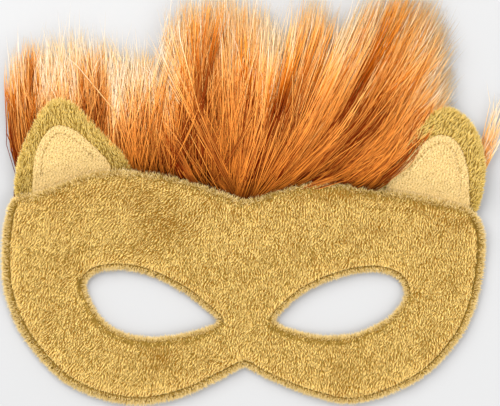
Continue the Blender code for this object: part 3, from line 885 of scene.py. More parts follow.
ears = {
    "left": {
        "outline": [
            (-93.5, 47.0), (-95.7, 54.0), (-94.7, 62.0), (-92.0, 71.5), (-87.0, 82.0), (-82.2, 89.0),
            (-76.5, 92.0), (-70.6, 90.4), (-64.5, 84.8), (-56.0, 76.0), (-48.5, 68.0), (-43.4, 61.8),
            (-46.0, 57.0), (-58.0, 56.0), (-72.0, 52.5), (-84.0, 48.5),
        ],
        "patch": [
            (-86.6, 50.4), (-86.9, 60.0), (-85.4, 69.4), (-82.0, 76.2), (-77.6, 79.9), (-73.0, 79.6),
            (-68.0, 77.0), (-62.0, 71.6), (-56.2, 65.2), (-56.0, 60.4), (-66.0, 58.4), (-76.0, 54.9),
        ],
        "centre": (-74.0, 68.0),
        "paler": 0.0,
        "patchCentre": (-74.0, 66.0),
        "aim": (-77.0, 135.0),  # the pile points here
    },
    "right": {
        "outline": [
            (94.0, 40.4), (97.0, 45.0), (99.2, 54.0), (99.6, 64.0), (97.4, 75.0), (93.0, 82.8),
            (87.2, 87.4), (81.4, 88.2), (75.6, 85.4), (68.4, 78.8), (60.0, 70.4), (51.0, 61.4),
            (45.0, 56.2), (47.5, 51.0), (60.0, 48.6), (78.0, 45.6),
        ],
        "patch": [
            (91.6, 44.9), (92.2, 54.0), (91.6, 62.0), (89.0, 70.2), (85.2, 74.8), (81.0, 76.2),
            (77.0, 75.2), (71.6, 71.2), (65.6, 64.6), (59.6, 57.4), (60.0, 52.4), (76.0, 49.4),
        ],
        "centre": (78.0, 65.0),
        # painted light: the right ear's pile is made paler, as more light falls on it
        "paler": 0.07,
        "patchCentre": (80.0, 63.0),
        "aim": (120.0, 128.0),
    },
    "coarse": (110, 90),  # points of an ear's outline and of a patch's that distances are measured to
    "padPoints": 110,
    "tuck": 1.5,  # how far the pile reaches past the ear's cloth
    "bottom": 2.7,
    "rise": (3.3, 14.0),
    "browThickness": 1.4,
    "thickness": 3.4,
    "plumpOver": 9.0,
    "rounding": 2.4,
    "patchThickness": 1.0,
    "patchUnderBrow": 0.35,  # thickness where the patch goes in under the brow
    "patchFade": (0.5, 4.0),  # how far under the brow it gets thicker, and over how much
    "patchGap": 0.1,  # between the ear and the patch
    "patchRounding": 0.6,
    "patchStitch": 3.2,
    "patchGroove": (0.35, 0.35),  # width and depth
    "stitchAbove": 6.0,  # the stitching is seen from here up, over the brow
    "stitchFade": (1.0, 2.0),
    # columns of points on a pad: at even shares of the way out, then at these distances from its edge
    "inner": (0.06, 11, 4.2),  # the first share, how many columns, and how far from the edge they end
    "outer": [3.7, 3.3, 3.0, 2.8, 2.6, 2.4, 2.0, 1.4, 0.9, 0.5, 0.2, 0.05],
    "leanWaves": [(14.0, 9.0, 31)],
    "pileTint": 0.50,
    "rimTint": 0.60,
    "rimBrushed": 0.6,  # how much the rim's tufts lean the way the ear is brushed
    "pileFrom": 0.5,  # how far from the ear's edge its pile starts
    "underPatch": 0.4,
    "underBrow": 0.5,
    "cutTo": 0.7,
    "napTint": 0.62,
    "napLean": (0.35, 0.8),  # how much of a turn the nap's leans cover, and from where in half turns
    "napFrom": (0.12, 0.2),  # from the patch's edge and from the brow
    "napBare": 0.28,  # to either side of the stitching
    "napSink": 0.2,
}


# Underside of the ears, which rise away from the brow: bottom + 3.3*ease((y - brow) / 14)
def earFloor(x, y):
    return ears["bottom"] + ears["rise"][0] * ease((y - browAt(x)) / ears["rise"][1])


# Thickness of the ears: from the brow's 1.4 to the full 3.4 by ease((y - brow) / 9)
def earThickness(x, y):
    plump = ease((y - browAt(x)) / ears["plumpOver"])
    return ears["browThickness"] + (ears["thickness"] - ears["browThickness"]) * plump


# Upper side of the ears: underside + thickness
def earTop(x, y):
    return earFloor(x, y) + earThickness(x, y)


# Thickness of the patch: from 0.35 under the brow to 1.0 by ease((y - brow + 0.5) / 4)
def patchThickness(x, y):
    thin = ears["patchUnderBrow"]
    under, fade = ears["patchFade"]
    return thin + (ears["patchThickness"] - thin) * ease((y - browAt(x) + under) / fade)


# The patch's underside lies on the ear
def patchFloor(x, y):
    return earTop(x, y) + ears["patchGap"]


# The ear's rim is rolled round the middle of its edge
def earMiddle(x, y):
    return earFloor(x, y) + 0.5 * earThickness(x, y)


# A pad: its columns run on rays from the centre to the loop, the inner ones at even shares and the
# outer ones at set distances from the loop. Its sides are half a circle of the rounding given, squared
# off: level = 0.5 + 0.5*sqrt(1 - (1 - distance/rounding)^2). A groove is exp(-((d - at)/width)^2) deep.
def padPiece(name, finish, loop, centre, lowAt, thickAt, rounding, groove=None):
    loop = evenly(loop, ears["padPoints"], closed=True)
    centre = np.array(centre)
    rays = loop - centre
    reach = np.linalg.norm(rays, axis=1)[:, None]
    first, columns, end = ears["inner"]
    along = np.hstack([(reach - end) * np.linspace(first, 1.0, columns), reach - np.array(ears["outer"])])
    flat = centre + (rays / reach)[:, None, :] * along[..., None]
    x, y = flat[..., 0].T, flat[..., 1].T
    distance = nearest(np.column_stack([x.ravel(), y.ravel()]), loop)[0].reshape(x.shape)
    bulge = 0.5 * rounded(distance, rounding)
    low, thick = lowAt(x, y), thickAt(x, y)
    upper = low + thick * (0.5 + bulge)
    if groove is not None:
        at, width, depth = groove
        start, fade = ears["stitchFade"]
        shown = ease((y - browAt(x) - ears["stitchAbove"] + start) / fade)
        upper = upper - depth * shown * np.exp(-(((distance - at) / width) ** 2))
    lower = low + thick * (0.5 - bulge)
    height = np.vstack([upper, lower[::-1]])
    x, y = np.vstack([x, x[::-1]]), np.vstack([y, y[::-1]])
    rings = np.dstack([x, y, height])
    numbers = np.arange(rings[..., 0].size).reshape(rings.shape[:2])
    numbers = np.hstack([numbers, numbers[:, :1]])
    tops = [[centre[0], centre[1], height[0].mean()], [centre[0], centre[1], height[-1].mean()]]
    points = np.vstack([rings.reshape(-1, 3), tops])
    first, last = len(points) - 2, len(points) - 1
    caps = [
        np.column_stack([0 * numbers[0, 1:] + first, numbers[0, 1:], numbers[0, :-1]]),
        np.column_stack([0 * numbers[-1, 1:] + last, numbers[-1, :-1], numbers[-1, 1:]]),
    ]
    faces = facingOut(points - points.mean(0), np.vstack([gridFaces(numbers), *caps]))
    return makePiece(name, points, faces, finish, merge=True)


earPileSettings = dict(
    facePile, pitch=0.92, tufts=6, length=(1.75, 0.4), rise=(30.0, 8.0, 8.0), clumpLength=0.8,
    clumpSpread=0.2, tintSpread=(0.16, 0.46), grain=0.0,
)
earRim = dict(
    rimSettings, perMillimetre=24.0, length=(1.7, 0.35), middle=0.0, inset=1.5, radius=(1.4, 1.25),
    turn=(-50.0, 115.0), over=50.0, lowest=-25.0, tintSpread=(0.12, 0.24),
)
velourPileSettings = dict(
    facePile, pitch=0.31, length=(0.72, 0.15), width=(0.34, 0.06), rise=(42.0, 0.0, 12.0),
    tintSpread=(0.0, 0.24), grain=0.44,
)
patchStitches = dict(stitches, thickness=0.34, pitch=1.8, fill=0.6)


# Way from each point to the spot that an ear's pile is brushed towards, as a lean from straight down
def aimedLean(points, aim):
    gap = np.array(aim) - points
    lean = np.arctan2(-gap[:, 0], -gap[:, 1])
    return lean + np.radians(waved(points[:, 0], points[:, 1], ears["leanWaves"]))


# Pile on an ear, left bare under the patch and under the brow, with the rim that is rolled round its edge
def earTufts(spec, loop, coarse, coarsePatch, chance, seed):
    centres = scattered(loop.min(0), loop.max(0), earPileSettings["pitch"], chance)
    centres = centres[inside(centres, coarse)]
    lean = aimedLean(centres, spec["aim"])
    foot, ways, length, width, tint = clumpTufts(centres, lean, earPileSettings, chance)
    # the paler tint is painted light, where more light falls on the ear
    tint = np.clip(tint + spec["paler"], 0.0, 1.0) + ears["pileTint"]
    ways = overSlope(foot, ways, earTop)
    distance = nearest(foot, coarse)[0]
    patchGap, towards = nearest(foot, coarsePatch)
    onPatch = inside(foot, coarsePatch)
    kept = inside(foot, coarse) & (distance > ears["pileFrom"])
    kept &= ~(onPatch & (patchGap > ears["underPatch"]))
    kept &= foot[:, 1] > browAt(foot[:, 0]) - ears["underBrow"]
    level = 0.5 + 0.5 * rounded(distance, ears["rounding"])
    height = earFloor(foot[:, 0], foot[:, 1]) + earThickness(foot[:, 0], foot[:, 1]) * level
    foot = np.column_stack([foot, height - earPileSettings["sink"]])
    # tufts that would cover the patch stop at its edge
    speed = (ways[:, :2] * towards).sum(1)
    room = np.maximum((patchGap + ears["underPatch"]) / np.maximum(speed, 1e-3), ears["cutTo"])
    length = np.where(~onPatch & (speed > 0.05), np.minimum(length, room), length)
    rim = rimTufts(coarse, 1.0, earMiddle, earRim, seed + 1, ears["rimTint"])
    shown = rim[0][:, 1] > browAt(rim[0][:, 0]) + ears["underBrow"]
    gap = np.array(spec["aim"]) - rim[0][:, :2]
    rim[1][:, :2] += ears["rimBrushed"] * gap / np.linalg.norm(gap, axis=1)[:, None]
    return addTufts([v[kept] for v in (foot, ways, length, width, tint)], [v[shown] for v in rim])


# Short nap on the velour, left bare along its stitching and under the brow
def napTufts(patch, coarsePatch, chance):
    centres = scattered(patch.min(0), patch.max(0), velourPileSettings["pitch"], chance)
    centres = centres[inside(centres, coarsePatch)]
    turns, start = ears["napLean"]
    lean = chance.uniform(0.0, 2.0 * np.pi, len(centres)) * turns + np.pi * start
    foot, ways, length, width, tint = clumpTufts(centres, lean, velourPileSettings, chance)
    ways = overSlope(foot, ways, earTop)
    gap = nearest(foot, coarsePatch)[0]
    past = foot[:, 1] - browAt(foot[:, 0])
    kept = inside(foot, coarsePatch) & (gap > ears["napFrom"][0]) & (past > ears["napFrom"][1])
    kept &= (np.abs(gap - ears["patchStitch"]) > ears["napBare"]) | (past < ears["stitchAbove"])
    level = 0.5 * (1.0 + rounded(gap, ears["patchRounding"]))
    height = patchThickness(foot[:, 0], foot[:, 1]) * level + patchFloor(foot[:, 0], foot[:, 1])
    foot = np.column_stack([foot, height - ears["napSink"]])
    return [v[kept] for v in (foot, ways, length, width, tint + ears["napTint"])]


# An ear: its pad, its patch, the pile on both and the seam on the patch. Gives the pad's outline.
def makeEar(side, seed):
    spec = ears[side]
    chance = np.random.default_rng(seed)
    loop, patch = movedLoop(smoothLoop(spec["outline"]), -ears["tuck"]), smoothLoop(spec["patch"])
    pad = padPiece(
        f"ear_{side}_pad", plushGround, loop, spec["centre"], earFloor, earThickness, ears["rounding"],
    )
    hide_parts(f"ear_{side}")
    velour = padPiece(
        f"inner_ear_{side}_velour", velourGround, patch, spec["patchCentre"], patchFloor, patchThickness,
        ears["patchRounding"], groove=(ears["patchStitch"], *ears["patchGroove"]),
    )
    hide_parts(f"inner_ear_{side}")
    coarse = evenly(loop, ears["coarse"][0], closed=True)
    coarsePatch = evenly(patch, ears["coarse"][1], closed=True)
    pile = tuftPiece(f"ear_{side}_pile", earPile, *earTufts(spec, loop, coarse, coarsePatch, chance, seed))
    nap = tuftPiece(f"inner_ear_{side}_nap", velourPile, *napTufts(patch, coarsePatch, chance))
    line = movedLoop(evenly(patch, stitches["linePoints"][1], closed=True), -ears["patchStitch"])
    x, y = line.T
    line = np.column_stack([line, earTop(x, y) + patchThickness(x, y) - stitches["over"]])
    line = openLine(line, y > browAt(x) + ears["stitchAbove"])
    seam = stitchPiece(f"inner_ear_{side}_stitches", patchThread, [(line, False)], patchStitches)
    return coarse


earLoops = [makeEar("left", 41), makeEar("right", 45)]
print("ears made")

# Mane

mane = {
    # Where the tips end: x, y
    "topLine": [
        (-99, 110), (-88, 113), (-76, 117), (-66, 119), (-56, 114), (-47, 112), (-40, 110), (-36, 100),
        (-33, 106), (-28.5, 125), (-22, 133), (-12, 135), (-2, 134), (7, 132), (12, 126), (15.5, 120),
        (20, 121), (24, 129), (31, 131), (37, 127), (41.5, 119), (45.5, 123), (50, 129), (58, 134),
        (66, 136), (75, 135), (81, 129), (86, 119),
    ],
    # How soon the strands turn pale, by where their tips are
    "toneAt": [
        -97, -88, -82, -76, -66, -60, -54, -48, -44, -38, -34, -28, -20, -10,
        0, 8, 15, 20, 28, 36, 42, 48, 56, 66, 76, 82, 86,
    ],
    "tone": [
        0.60, 0.68, 0.95, 1.02, 0.88, 0.80, 1.12, 1.06, 0.90, 0.98, 1.00, 0.88, 0.78, 0.76,
        0.78, 0.85, 0.98, 0.90, 0.82, 0.84, 0.92, 0.82, 0.74, 0.70, 0.70, 0.80, 0.95,
    ],
    "tipFade": (0.70, 0.34),  # each strand's own tip turns pale from here on, by so much
    # Painted shade, darker between locks: x, y, half width, half height, depth
    "deep": [
        (15, 86, 4, 7, 0.44), (19, 95, 4, 7, 0.44), (44, 82, 4, 5, 0.48), (50, 89, 4.5, 5, 0.48),
        (56, 98, 4, 6, 0.42), (62, 111, 3.5, 9, 0.38), (46, 75, 5, 3.5, 0.44), (54, 81, 6, 3.5, 0.50),
        (74, 87, 4, 5, 0.50),
        (18, 62, 10, 4, 0.42), (44, 64, 9, 3.5, 0.40), (8, 62, 7, 6, 0.26), (29, 94, 3.5, 7, 0.28),
        (69, 102, 3, 6, 0.26), (33, 72, 5, 5, 0.20),
        (-23, 80, 6, 8, 0.32), (-26, 70, 5, 7, 0.24), (-62, 82, 6, 9, 0.34), (-88, 84, 5, 12, 0.36),
        (-34, 66, 8, 5, 0.20), (-12, 62, 5, 6, 0.20), (-66.5, 94, 4, 5, 0.34), (-3, 100, 4, 9, 0.16),
        (-90, 92, 5, 9, 0.40), (-59, 87, 3, 8, 0.36), (-42, 86, 4, 12, 0.16),
        # and painted highlight, lighter along the crown of a lock
        (35, 81, 3.5, 6, -0.20), (41, 91, 3.5, 7, -0.22), (47, 102, 3.5, 8, -0.22), (56, 70, 4, 4, -0.22),
        (63, 81, 4, 6, -0.26), (69, 93, 3.5, 6, -0.22), (27, 84, 3, 8, -0.18), (4, 106, 5, 10, -0.18),
        (-20, 96, 4, 12, -0.14),
    ],
    # Places where it is paler
    "pale": [
        (-52.5, 92, 3.5, 17, 0.48), (-47, 100, 4, 13, 0.34), (-80, 101, 4.5, 9, 0.46),
        (-70.5, 104, 2.6, 8, 0.46), (-66, 114, 12, 8, 0.16), (-37, 104, 5, 10, 0.30), (-95, 104, 3, 12, 0.18),
        (-43, 108, 7, 8, 0.20), (16, 112, 6, 10, 0.24), (42, 113, 5, 8, 0.22),
        # and where the rust colour reaches further up
        (-87, 102, 2.6, 10, -0.22), (-65, 103, 2.8, 7, -0.24), (-59, 94, 2.6, 12, -0.20),
        (-76, 92, 3, 6, -0.10),
    ],
    # Fans of clumps. Roots and tips are x, bend bulges to the right of the way from root to tip,
    # reach is a share of the way to the top line, tipY stands where a fan doesn't go up to it.
    "fans": [
        {
            "name": "undercoat", "clumps": 120, "strands": 10, "scatter": 3.0, "height": (1.4, 3.2),
            "roots": [
                -90, -84, -74, -62, -53, -44, -36, -29, -20, -11, -6, -1, 4, 9, 14, 20, 27, 34, 41, 48,
            ],
            "tips": [
                -93.5, -87.5, -77, -62, -49, -42, -35, -28, -21, -11, 0, 12, 27, 43, 56, 68, 78, 88, 96,
                101,
            ],
            "bend": [-1.5, -1.5, -1, 0, 1, 0, 0, 0, -1, -1, 1, 2, 3, 4, 4, 4, 4, 4, 3, 3],
            "reach": (0.56, 0.98), "tint": (0.52, 0.12), "width": 2.2, "tone": 0.90,
        },
        {
            "name": "under", "clumps": 190, "strands": 33, "scatter": 4.5, "height": (3.5, 7.5),
            "roots": [
                -90.5, -84, -74, -62, -53, -44, -36, -29, -20, -11, -6, -1, 4, 9, 14, 20, 27, 34, 41, 50,
            ],
            "tips": [
                -93.5, -87.5, -77, -62, -49, -42, -35, -28, -21, -11, 0, 12, 27, 43, 56, 68, 78, 88, 96,
                103,
            ],
            "bend": [-1.5, -1.5, -1, 0, 1, 0, 0, 0, -1, -1, 1, 2, 3, 4, 4, 4, 4, 4, 3, 3],
            "reach": (0.84, 1.03), "tint": (0.33, 0.20),
        },
        {
            "name": "left", "clumps": 40, "strands": 34, "scatter": 8.0, "height": (7.5, 12.0),
            "roots": [-27, -16, -7, 0], "tips": [-30, -25, -19, -6], "bend": [-2, -3, -3, -1],
            "reach": (0.76, 1.02), "tint": (0.38, 0.26),
        },
        {
            "name": "leftCrossing", "clumps": 20, "strands": 20, "scatter": 10.0, "height": (8.5, 12.8),
            "roots": [-34, -24, -12, -4], "tips": [-20, -12, 6, 14], "bend": [1, 2, 3, 3],
            "reach": (0.66, 0.95), "tint": (0.41, 0.22),
        },
        {
            "name": "right", "clumps": 86, "strands": 34, "scatter": 6.0, "height": (7.5, 12.4),
            "roots": [-5, -1, 3, 8, 13, 20, 30], "tips": [6, 22, 38, 56, 72, 86, 94],
            "bend": [1.5, 3, 4, 4.5, 4.5, 4.5, 4],
            "reach": (0.82, 1.04), "tint": (0.43, 0.28),
        },
        {
            "name": "low", "clumps": 14, "strands": 28, "scatter": 4.0, "height": (7.0, 10.5),
            "roots": [2, 18, 30], "tips": [64, 72, 78], "bend": [8, 7, 6], "tipY": (88, 108),
            "reach": (0.85, 1.0), "tint": (0.36, 0.24),
        },
        {
            "name": "overEar", "clumps": 40, "strands": 10, "scatter": 3.0, "height": (10.0, 12.6),
            "roots": [34, 43, 53], "tips": [64, 73, 81], "bend": [4, 4, 3], "tipY": (86, 100),
            "reach": (0.85, 1.0), "tint": (0.45, 0.25),
        },
        {
            "name": "leftTuft", "clumps": 16, "strands": 30, "scatter": 1.6, "height": (4.0, 6.5),
            "roots": [-90.5, -84], "tips": [-94, -87], "bend": [-1.6, -1.5], "tipY": (100, 112),
            "reach": (0.84, 1.0), "tint": (0.38, 0.20),
        },
        {
            "name": "lightLock", "clumps": 5, "strands": 26, "scatter": 1.2, "height": (12.4, 13.2),
            "roots": [-4, -1], "tips": [-37, -31], "bend": [-1, -2], "tipY": (116, 122),
            "reach": (0.9, 1.0), "tint": (0.66, 0.10),
        },
        {
            "name": "lightMiddle", "clumps": 3, "strands": 24, "scatter": 1.0, "height": (12.0, 13.0),
            "roots": [-5, -3], "tips": [8, 11], "bend": [3, 4], "tipY": (112, 118),
            "reach": (0.9, 1.0), "tint": (0.78, 0.05),
        },
        {
            "name": "lightRight", "clumps": 8, "strands": 22, "scatter": 2.4, "height": (12.0, 13.0),
            "roots": [6, 16], "tips": [58, 66], "bend": [6, 8], "tipY": (112, 122),
            "reach": (0.9, 1.0), "tint": (0.78, 0.08),
        },
        {
            "name": "rightTuft", "clumps": 4, "strands": 14, "scatter": 1.6, "height": (3.2, 4.4),
            "roots": [84, 91], "tips": [103, 110], "bend": [2, 3], "tipY": (87, 95),
            "reach": (0.85, 1.0), "tint": (0.90, 0.06), "tone": 1.9,
        },
        {
            "name": "rightHalo", "clumps": 240, "strands": 1, "scatter": 6.0, "height": (5.0, 11.0),
            "roots": [10, 22, 34, 46], "tips": [84, 94, 101, 106], "bend": [4, 4, 4, 3], "edge": 86.0,
            "reach": (0.95, 1.08), "tint": (0.95, 0.05), "tone": 2.2, "width": 0.6,
        },
        {
            "name": "wisps", "clumps": 700, "strands": 1, "scatter": 7.0, "height": (6.0, 12.0),
            "roots": [-90, -80, -66, -56, -46, -38, -26, -10, 0, 9, 20, 34, 48],
            "tips": [-92, -82, -67, -57, -46, -38, -28, -10, 14, 42, 68, 90, 103],
            "bend": [-1, 0, 0, 0, 0, 0, -1, 0, 2, 4, 4, 4, 3],
            "reach": (0.94, 1.16), "tint": (0.92, 0.08), "tone": 1.9, "width": 0.66,
        },
        {
            "name": "single", "clumps": 2300, "strands": 1, "scatter": 12.0, "height": (8.0, 13.2),
            "roots": [-90, -60, -36, -10, 0, 9, 20, 34, 50],
            "tips": [-88, -60, -34, -12, 14, 44, 68, 86, 96],
            "bend": [-1, 0, 0, 0, 2, 4, 4, 4, 3],
            "reach": (0.66, 1.05), "tint": (0.80, 0.20), "width": 0.75,
        },
    ],
    "tipsBetween": (-95.5, 82.5),
    "tipsSpread": (3.0, 1.2),  # how unevenly they end there, at the left and at the right
    "leftEdge": -98.0,
    "strayPull": 0.75,  # strands past the left edge are drawn back towards it by this share
    "highest": 140.0,  # no tip is aimed higher
    "rightEdgeFall": 1.6,  # tips that would pass the right edge end on it, lower by so much per mm
    "stops": [0.0, 0.15, 0.48, 0.84, 1.0],  # shares of the length where a strand has a ring
    "width": (0.37, 0.09),
    "widthAlong": [0.9, 1.0, 0.95, 0.74],
    "thinnest": 0.18,
    # painted shade: the bottom layers are darker, as they lie in the shade of the top ones
    "layerShade": 0.30,  # how much paler the top layers are than the bottom ones
    "strandTint": 0.15,
    "toneSpread": (0.07, 0.08),  # from clump to clump and from strand to strand
    "toneBetween": (0.2, 1.4),
    "tonePower": 1.05,
    # share of a clump's strands that are paler, its spread, and by how much
    "paleStrands": (0.16, 0.14, 0.62),
    "paleBetween": (0.03, 0.7),
    "tintPower": 1.9,
    "toneMost": 0.99,
    "ringTint": 0.012,  # how much the tint differs round a strand
    "rootDepth": (-2.5, 2.0),
    "rootHeight": (1.8, 4.3),
    "rootOverEar": 4.4,
    "bendSpread": 1.6,
    "tipYSpread": 3.0,
    "clumpRadius": [1.5, 1.8, 2.3, 1.9, 1.6],
    "clumpFlatness": 0.45,  # how high a clump's section is, as a share of its width
    "clumpRise": 0.12,
    "cut": (0.94, 0.09),  # length of the strands, as a share of their clump's
    "cutBetween": (0.5, 1.06),
    "waves": (3.0, 8.0),  # of one strand, in radians over its length
    "wavePhase": 6.3,
    "frizz": 1.3,
    "flop": (2.6, 1.6),  # how far a tip falls aside, and the power of t that it grows by
    "risesBy": [(0.6, 0.0, 0.10), (0.4, 0.05, 0.28)],  # share of the height, from which t on, over how much
    "sinks": (0.62, 1.3),
    "earClearance": 0.5,
    "earMargin": 1.6,  # strands this close to an ear keep under it too
    "floor": (0.25, 1.55, 1.5, 4.0),  # lowest height, how much more by the brow, up to where, over how much
    "roof": (0.8, 4.5, 40.0),  # up to here over the brow strands stay lower than this, and then than that
}


# Height of the strands at a share t of their way, low + (high-low)*(0.6*ease(t/0.1) +
# 0.4*ease((t-0.05)/0.28))*(1-0.62t^1.3), kept under the ears, over the woven strip and under the brow's roof
def strandHeight(at, low, high, lift, line, overEar):
    swell = sum(part * ease((at - start) / width) for part, start, width in mane["risesBy"])
    much, power = mane["sinks"]
    z = low + (high - low) * swell * (1.0 - much * np.clip(at, 0.0, 1.0) ** power) + lift
    flat = line.reshape(-1, 2)
    if not overEar:
        under = np.zeros(len(flat), bool)
        for loop in earLoops:
            under |= inside(flat, loop) | (nearest(flat, loop)[0] < mane["earMargin"])
        ceiling = earFloor(flat[:, 0], flat[:, 1]) - mane["earClearance"]
        z = np.where(under, np.minimum(z.ravel(), ceiling), z.ravel()).reshape(z.shape)
    past = (flat[:, 1] - browAt(flat[:, 0])).reshape(z.shape)
    lowest, more, start, width = mane["floor"]
    floor = more * (1.0 - ease((past - start) / width)) + lowest
    end, near, away = mane["roof"]
    return np.minimum(np.maximum(z, floor), np.where(past < end, near, away))


# Strands from root to tip. For a clump, line(t) = root + (tip-root)*t + side*bend*4t(1-t). A strand keeps
# its own place in the clump's section, whose radius changes along it, and adds a slow wave that grows to
# the tip. Tone changes at the pale spots, and tint at the spots of painted shade and painted highlight.
def maneStrands(root, tip, bend, height, tone, tint, perClump, chance, rootHeight, overEar):
    number = len(root)
    t = np.array(mane["stops"])
    owner = np.repeat(np.arange(number), perClump)
    count = len(owner)
    at = np.clip(chance.normal(*mane["cut"], count), *mane["cutBetween"])[:, None] * t
    gap = tip - root
    side = np.column_stack([gap[:, 1], -gap[:, 0]]) / np.linalg.norm(gap, axis=1)[:, None]
    line = root[owner][:, None, :] + gap[owner][:, None, :] * at[..., None]
    line = line + side[owner][:, None, :] * (bend[owner][:, None] * 4.0 * at * (1.0 - at))[..., None]
    radius = np.interp(at, t, mane["clumpRadius"])
    angle, out = chance.uniform(0.0, 2.0 * np.pi, count), np.sqrt(chance.uniform(0.0, 1.0, count))
    turns = chance.uniform(*mane["waves"], count)[:, None]
    phase = chance.uniform(0.0, mane["wavePhase"], count)[:, None]
    wave = mane["frizz"] * np.sin(at * turns + phase) * at
    flop, power = mane["flop"]
    wave = wave + chance.normal(0.0, flop, count)[:, None] * at**power
    offset = (out * np.cos(angle))[:, None] * radius + wave
    line = line + side[owner][:, None, :] * offset[..., None]
    lift = (out * np.sin(angle))[:, None] * radius * mane["clumpFlatness"] * ease(at / mane["clumpRise"])
    low, high = rootHeight[owner][:, None], height[owner][:, None]
    paths = np.dstack([line, strandHeight(at, low, high, lift, line, overEar)])
    width = np.clip(chance.normal(*mane["width"], count), mane["thinnest"], None)
    strandTint = tint[owner] + chance.normal(0.0, mane["strandTint"], count)
    paleShare, paleSpread, paler = mane["paleStrands"]
    paleShare = np.clip(chance.normal(paleShare, paleSpread, number), *mane["paleBetween"])[owner]
    strandTint += np.where(chance.random(count) < paleShare, paler, 0.0)
    strandTone = tone[owner] * chance.normal(1.0, mane["toneSpread"][1], count)
    strandTone = np.clip(strandTone, *mane["toneBetween"])[:, None] * at ** mane["tonePower"]
    start, fade = mane["tipFade"]
    x, y = line[..., 0], line[..., 1]
    strandTone = strandTone + fade * ease((t - start) / (1.0 - start)) + spotted(x, y, mane["pale"])
    # the tint is lowered by painted shade between locks and raised by painted highlight on their crowns
    return paths, width, strandTint[:, None] - spotted(x, y, mane["deep"]), strandTone


# Three-sided tubes round the paths that close in a point: corner j of a ring stands at
# middle + width/2 * (cos(a_j)*side + sin(a_j)*up)
def strandPiece(name, finish, paths, width, tint, tone):
    count, rings = paths.shape[0], paths.shape[1]
    along = np.gradient(paths, axis=1)
    along /= np.maximum(np.linalg.norm(along, axis=2), 1e-9)[..., None]
    side = np.stack([-along[..., 1], along[..., 0], np.zeros((count, rings))], -1)
    side /= np.maximum(np.linalg.norm(side, axis=2), 1e-9)[..., None]
    up = np.cross(along, side)
    angle = np.radians([90.0, 210.0, 330.0])
    half = 0.5 * width[:, None] * np.array(mane["widthAlong"])
    corner = side[:, :-1, None, :] * np.cos(angle)[:, None] + up[:, :-1, None, :] * np.sin(angle)[:, None]
    body = paths[:, :-1, None, :] + corner * half[..., None, None]
    points = np.concatenate([body.reshape(count, -1, 3), paths[:, -1:, :]], 1)
    perStrand = points.shape[1]
    ring = np.arange(3 * (rings - 1)).reshape(rings - 1, 3)
    ring = np.hstack([ring, ring[:, :1]])
    end = perStrand - 1
    order = np.vstack([
        gridFaces(ring), np.column_stack([ring[-1, :-1], [end] * 3, ring[-1, 1:]]), [ring[0, :3]],
    ])
    order = facingOut(points[0] - points[0].mean(0), order)
    faces = (perStrand * np.arange(count)[:, None, None] + order).reshape(-1, 3)
    tint = np.clip(np.clip(tint, 0.0, 1.0) ** mane["tintPower"], *tintBetween)
    u = (tint[:, :-1, None] + mane["ringTint"] * np.array([-1.0, 0.0, 1.0])).reshape(count, -1)
    v = np.repeat(np.clip(tone, 0.0, mane["toneMost"]), 3, 1)
    uv = np.stack([np.hstack([u, tint[:, -1:]]), v[:, :-2]], -1)
    return makePiece(name, points.reshape(-1, 3), faces, finish, uv=np.clip(uv, 0.0, 1.0).reshape(-1, 2))


# One fan: roots, tips and bends are read off the fan's lists at chance places s between 0 and 1
def maneFan(fan, chance):
    number = fan["clumps"]
    s = (chance.permutation(number) + chance.uniform(0.0, 1.0, number)) / number
    spread = np.linspace(0.0, 1.0, len(fan["roots"]))
    rootX = np.interp(s, spread, fan["roots"])
    tipX = np.interp(s, spread, fan["tips"]) + chance.normal(0.0, fan["scatter"], number)
    pastEdge = np.zeros(number)
    if fan["name"] != "rightTuft":
        leftSpread, rightSpread = mane["tipsSpread"]
        furthest = fan.get("edge", mane["tipsBetween"][1]) + chance.normal(0.0, rightSpread, number)
        pastEdge = np.maximum(tipX - furthest, 0.0)
        tipX = np.clip(tipX, mane["tipsBetween"][0] + chance.uniform(0.0, leftSpread, number), furthest)
    bend = np.interp(s, spread, fan["bend"]) + chance.normal(0.0, mane["bendSpread"], number)
    layer = chance.permutation(number) / number  # 0 lies lowest, 1 on top
    top = np.array(mane["topLine"])
    share = chance.uniform(*fan["reach"], number)
    tipY = np.interp(tipX, top[:, 0], top[:, 1]) - mane["rightEdgeFall"] * pastEdge
    brow = browAt(rootX)
    share = np.minimum(share, (mane["highest"] - brow) / np.maximum(tipY - brow, 1.0))
    if "tipY" in fan:
        tipY = np.interp(s, [0.0, 1.0], fan["tipY"]) + chance.normal(0.0, mane["tipYSpread"], number)
    low, high = mane["rootDepth"]
    root = np.column_stack([rootX, brow + low + (high - low) * (1.0 - layer)])
    tip = np.column_stack([tipX, root[:, 1] + (tipY - root[:, 1]) * share])
    low, high = mane["rootHeight"]
    rootHeight = low + (high - low) * layer
    lowest, highest = fan["height"]
    height = lowest + (highest - lowest) * layer
    tone = np.interp(tipX, mane["toneAt"], mane["tone"]) * fan.get("tone", 1.0)
    tone = tone * chance.normal(1.0, mane["toneSpread"][0], number)
    # painted shade on the lower layers
    tint = chance.normal(*fan["tint"], number) + mane["layerShade"] * (layer - 0.5)
    overEar = fan["name"] == "overEar"
    if overEar:
        rootHeight = np.full(number, mane["rootOverEar"])
    paths, width, tints, tones = maneStrands(
        root, tip, bend, height, tone, tint, fan["strands"], chance, rootHeight, overEar,
    )
    strayed = np.maximum(mane["leftEdge"] - paths[..., 0], 0.0)
    paths[..., 0] += mane["strayPull"] * strayed
    return paths, width * fan.get("width", 1.0), tints, tones


# Every fan in turn, with one row of chance numbers, put together value by value
def makeMane():
    chance = np.random.default_rng(61)
    return [np.concatenate(parts) for parts in zip(*[maneFan(fan, chance) for fan in mane["fans"]])]


hair = makeMane()
middleX = hair[0][:, 2, 0]
thirds = np.quantile(middleX, [1.0 / 3.0, 2.0 / 3.0])
part = np.digitize(middleX, thirds)
manePieces = [
    strandPiece(f"mane_{name}", maneFibre, *[v[part == k] for v in hair])
    for k, name in enumerate(("left", "middle", "right"))
]
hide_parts("mane")


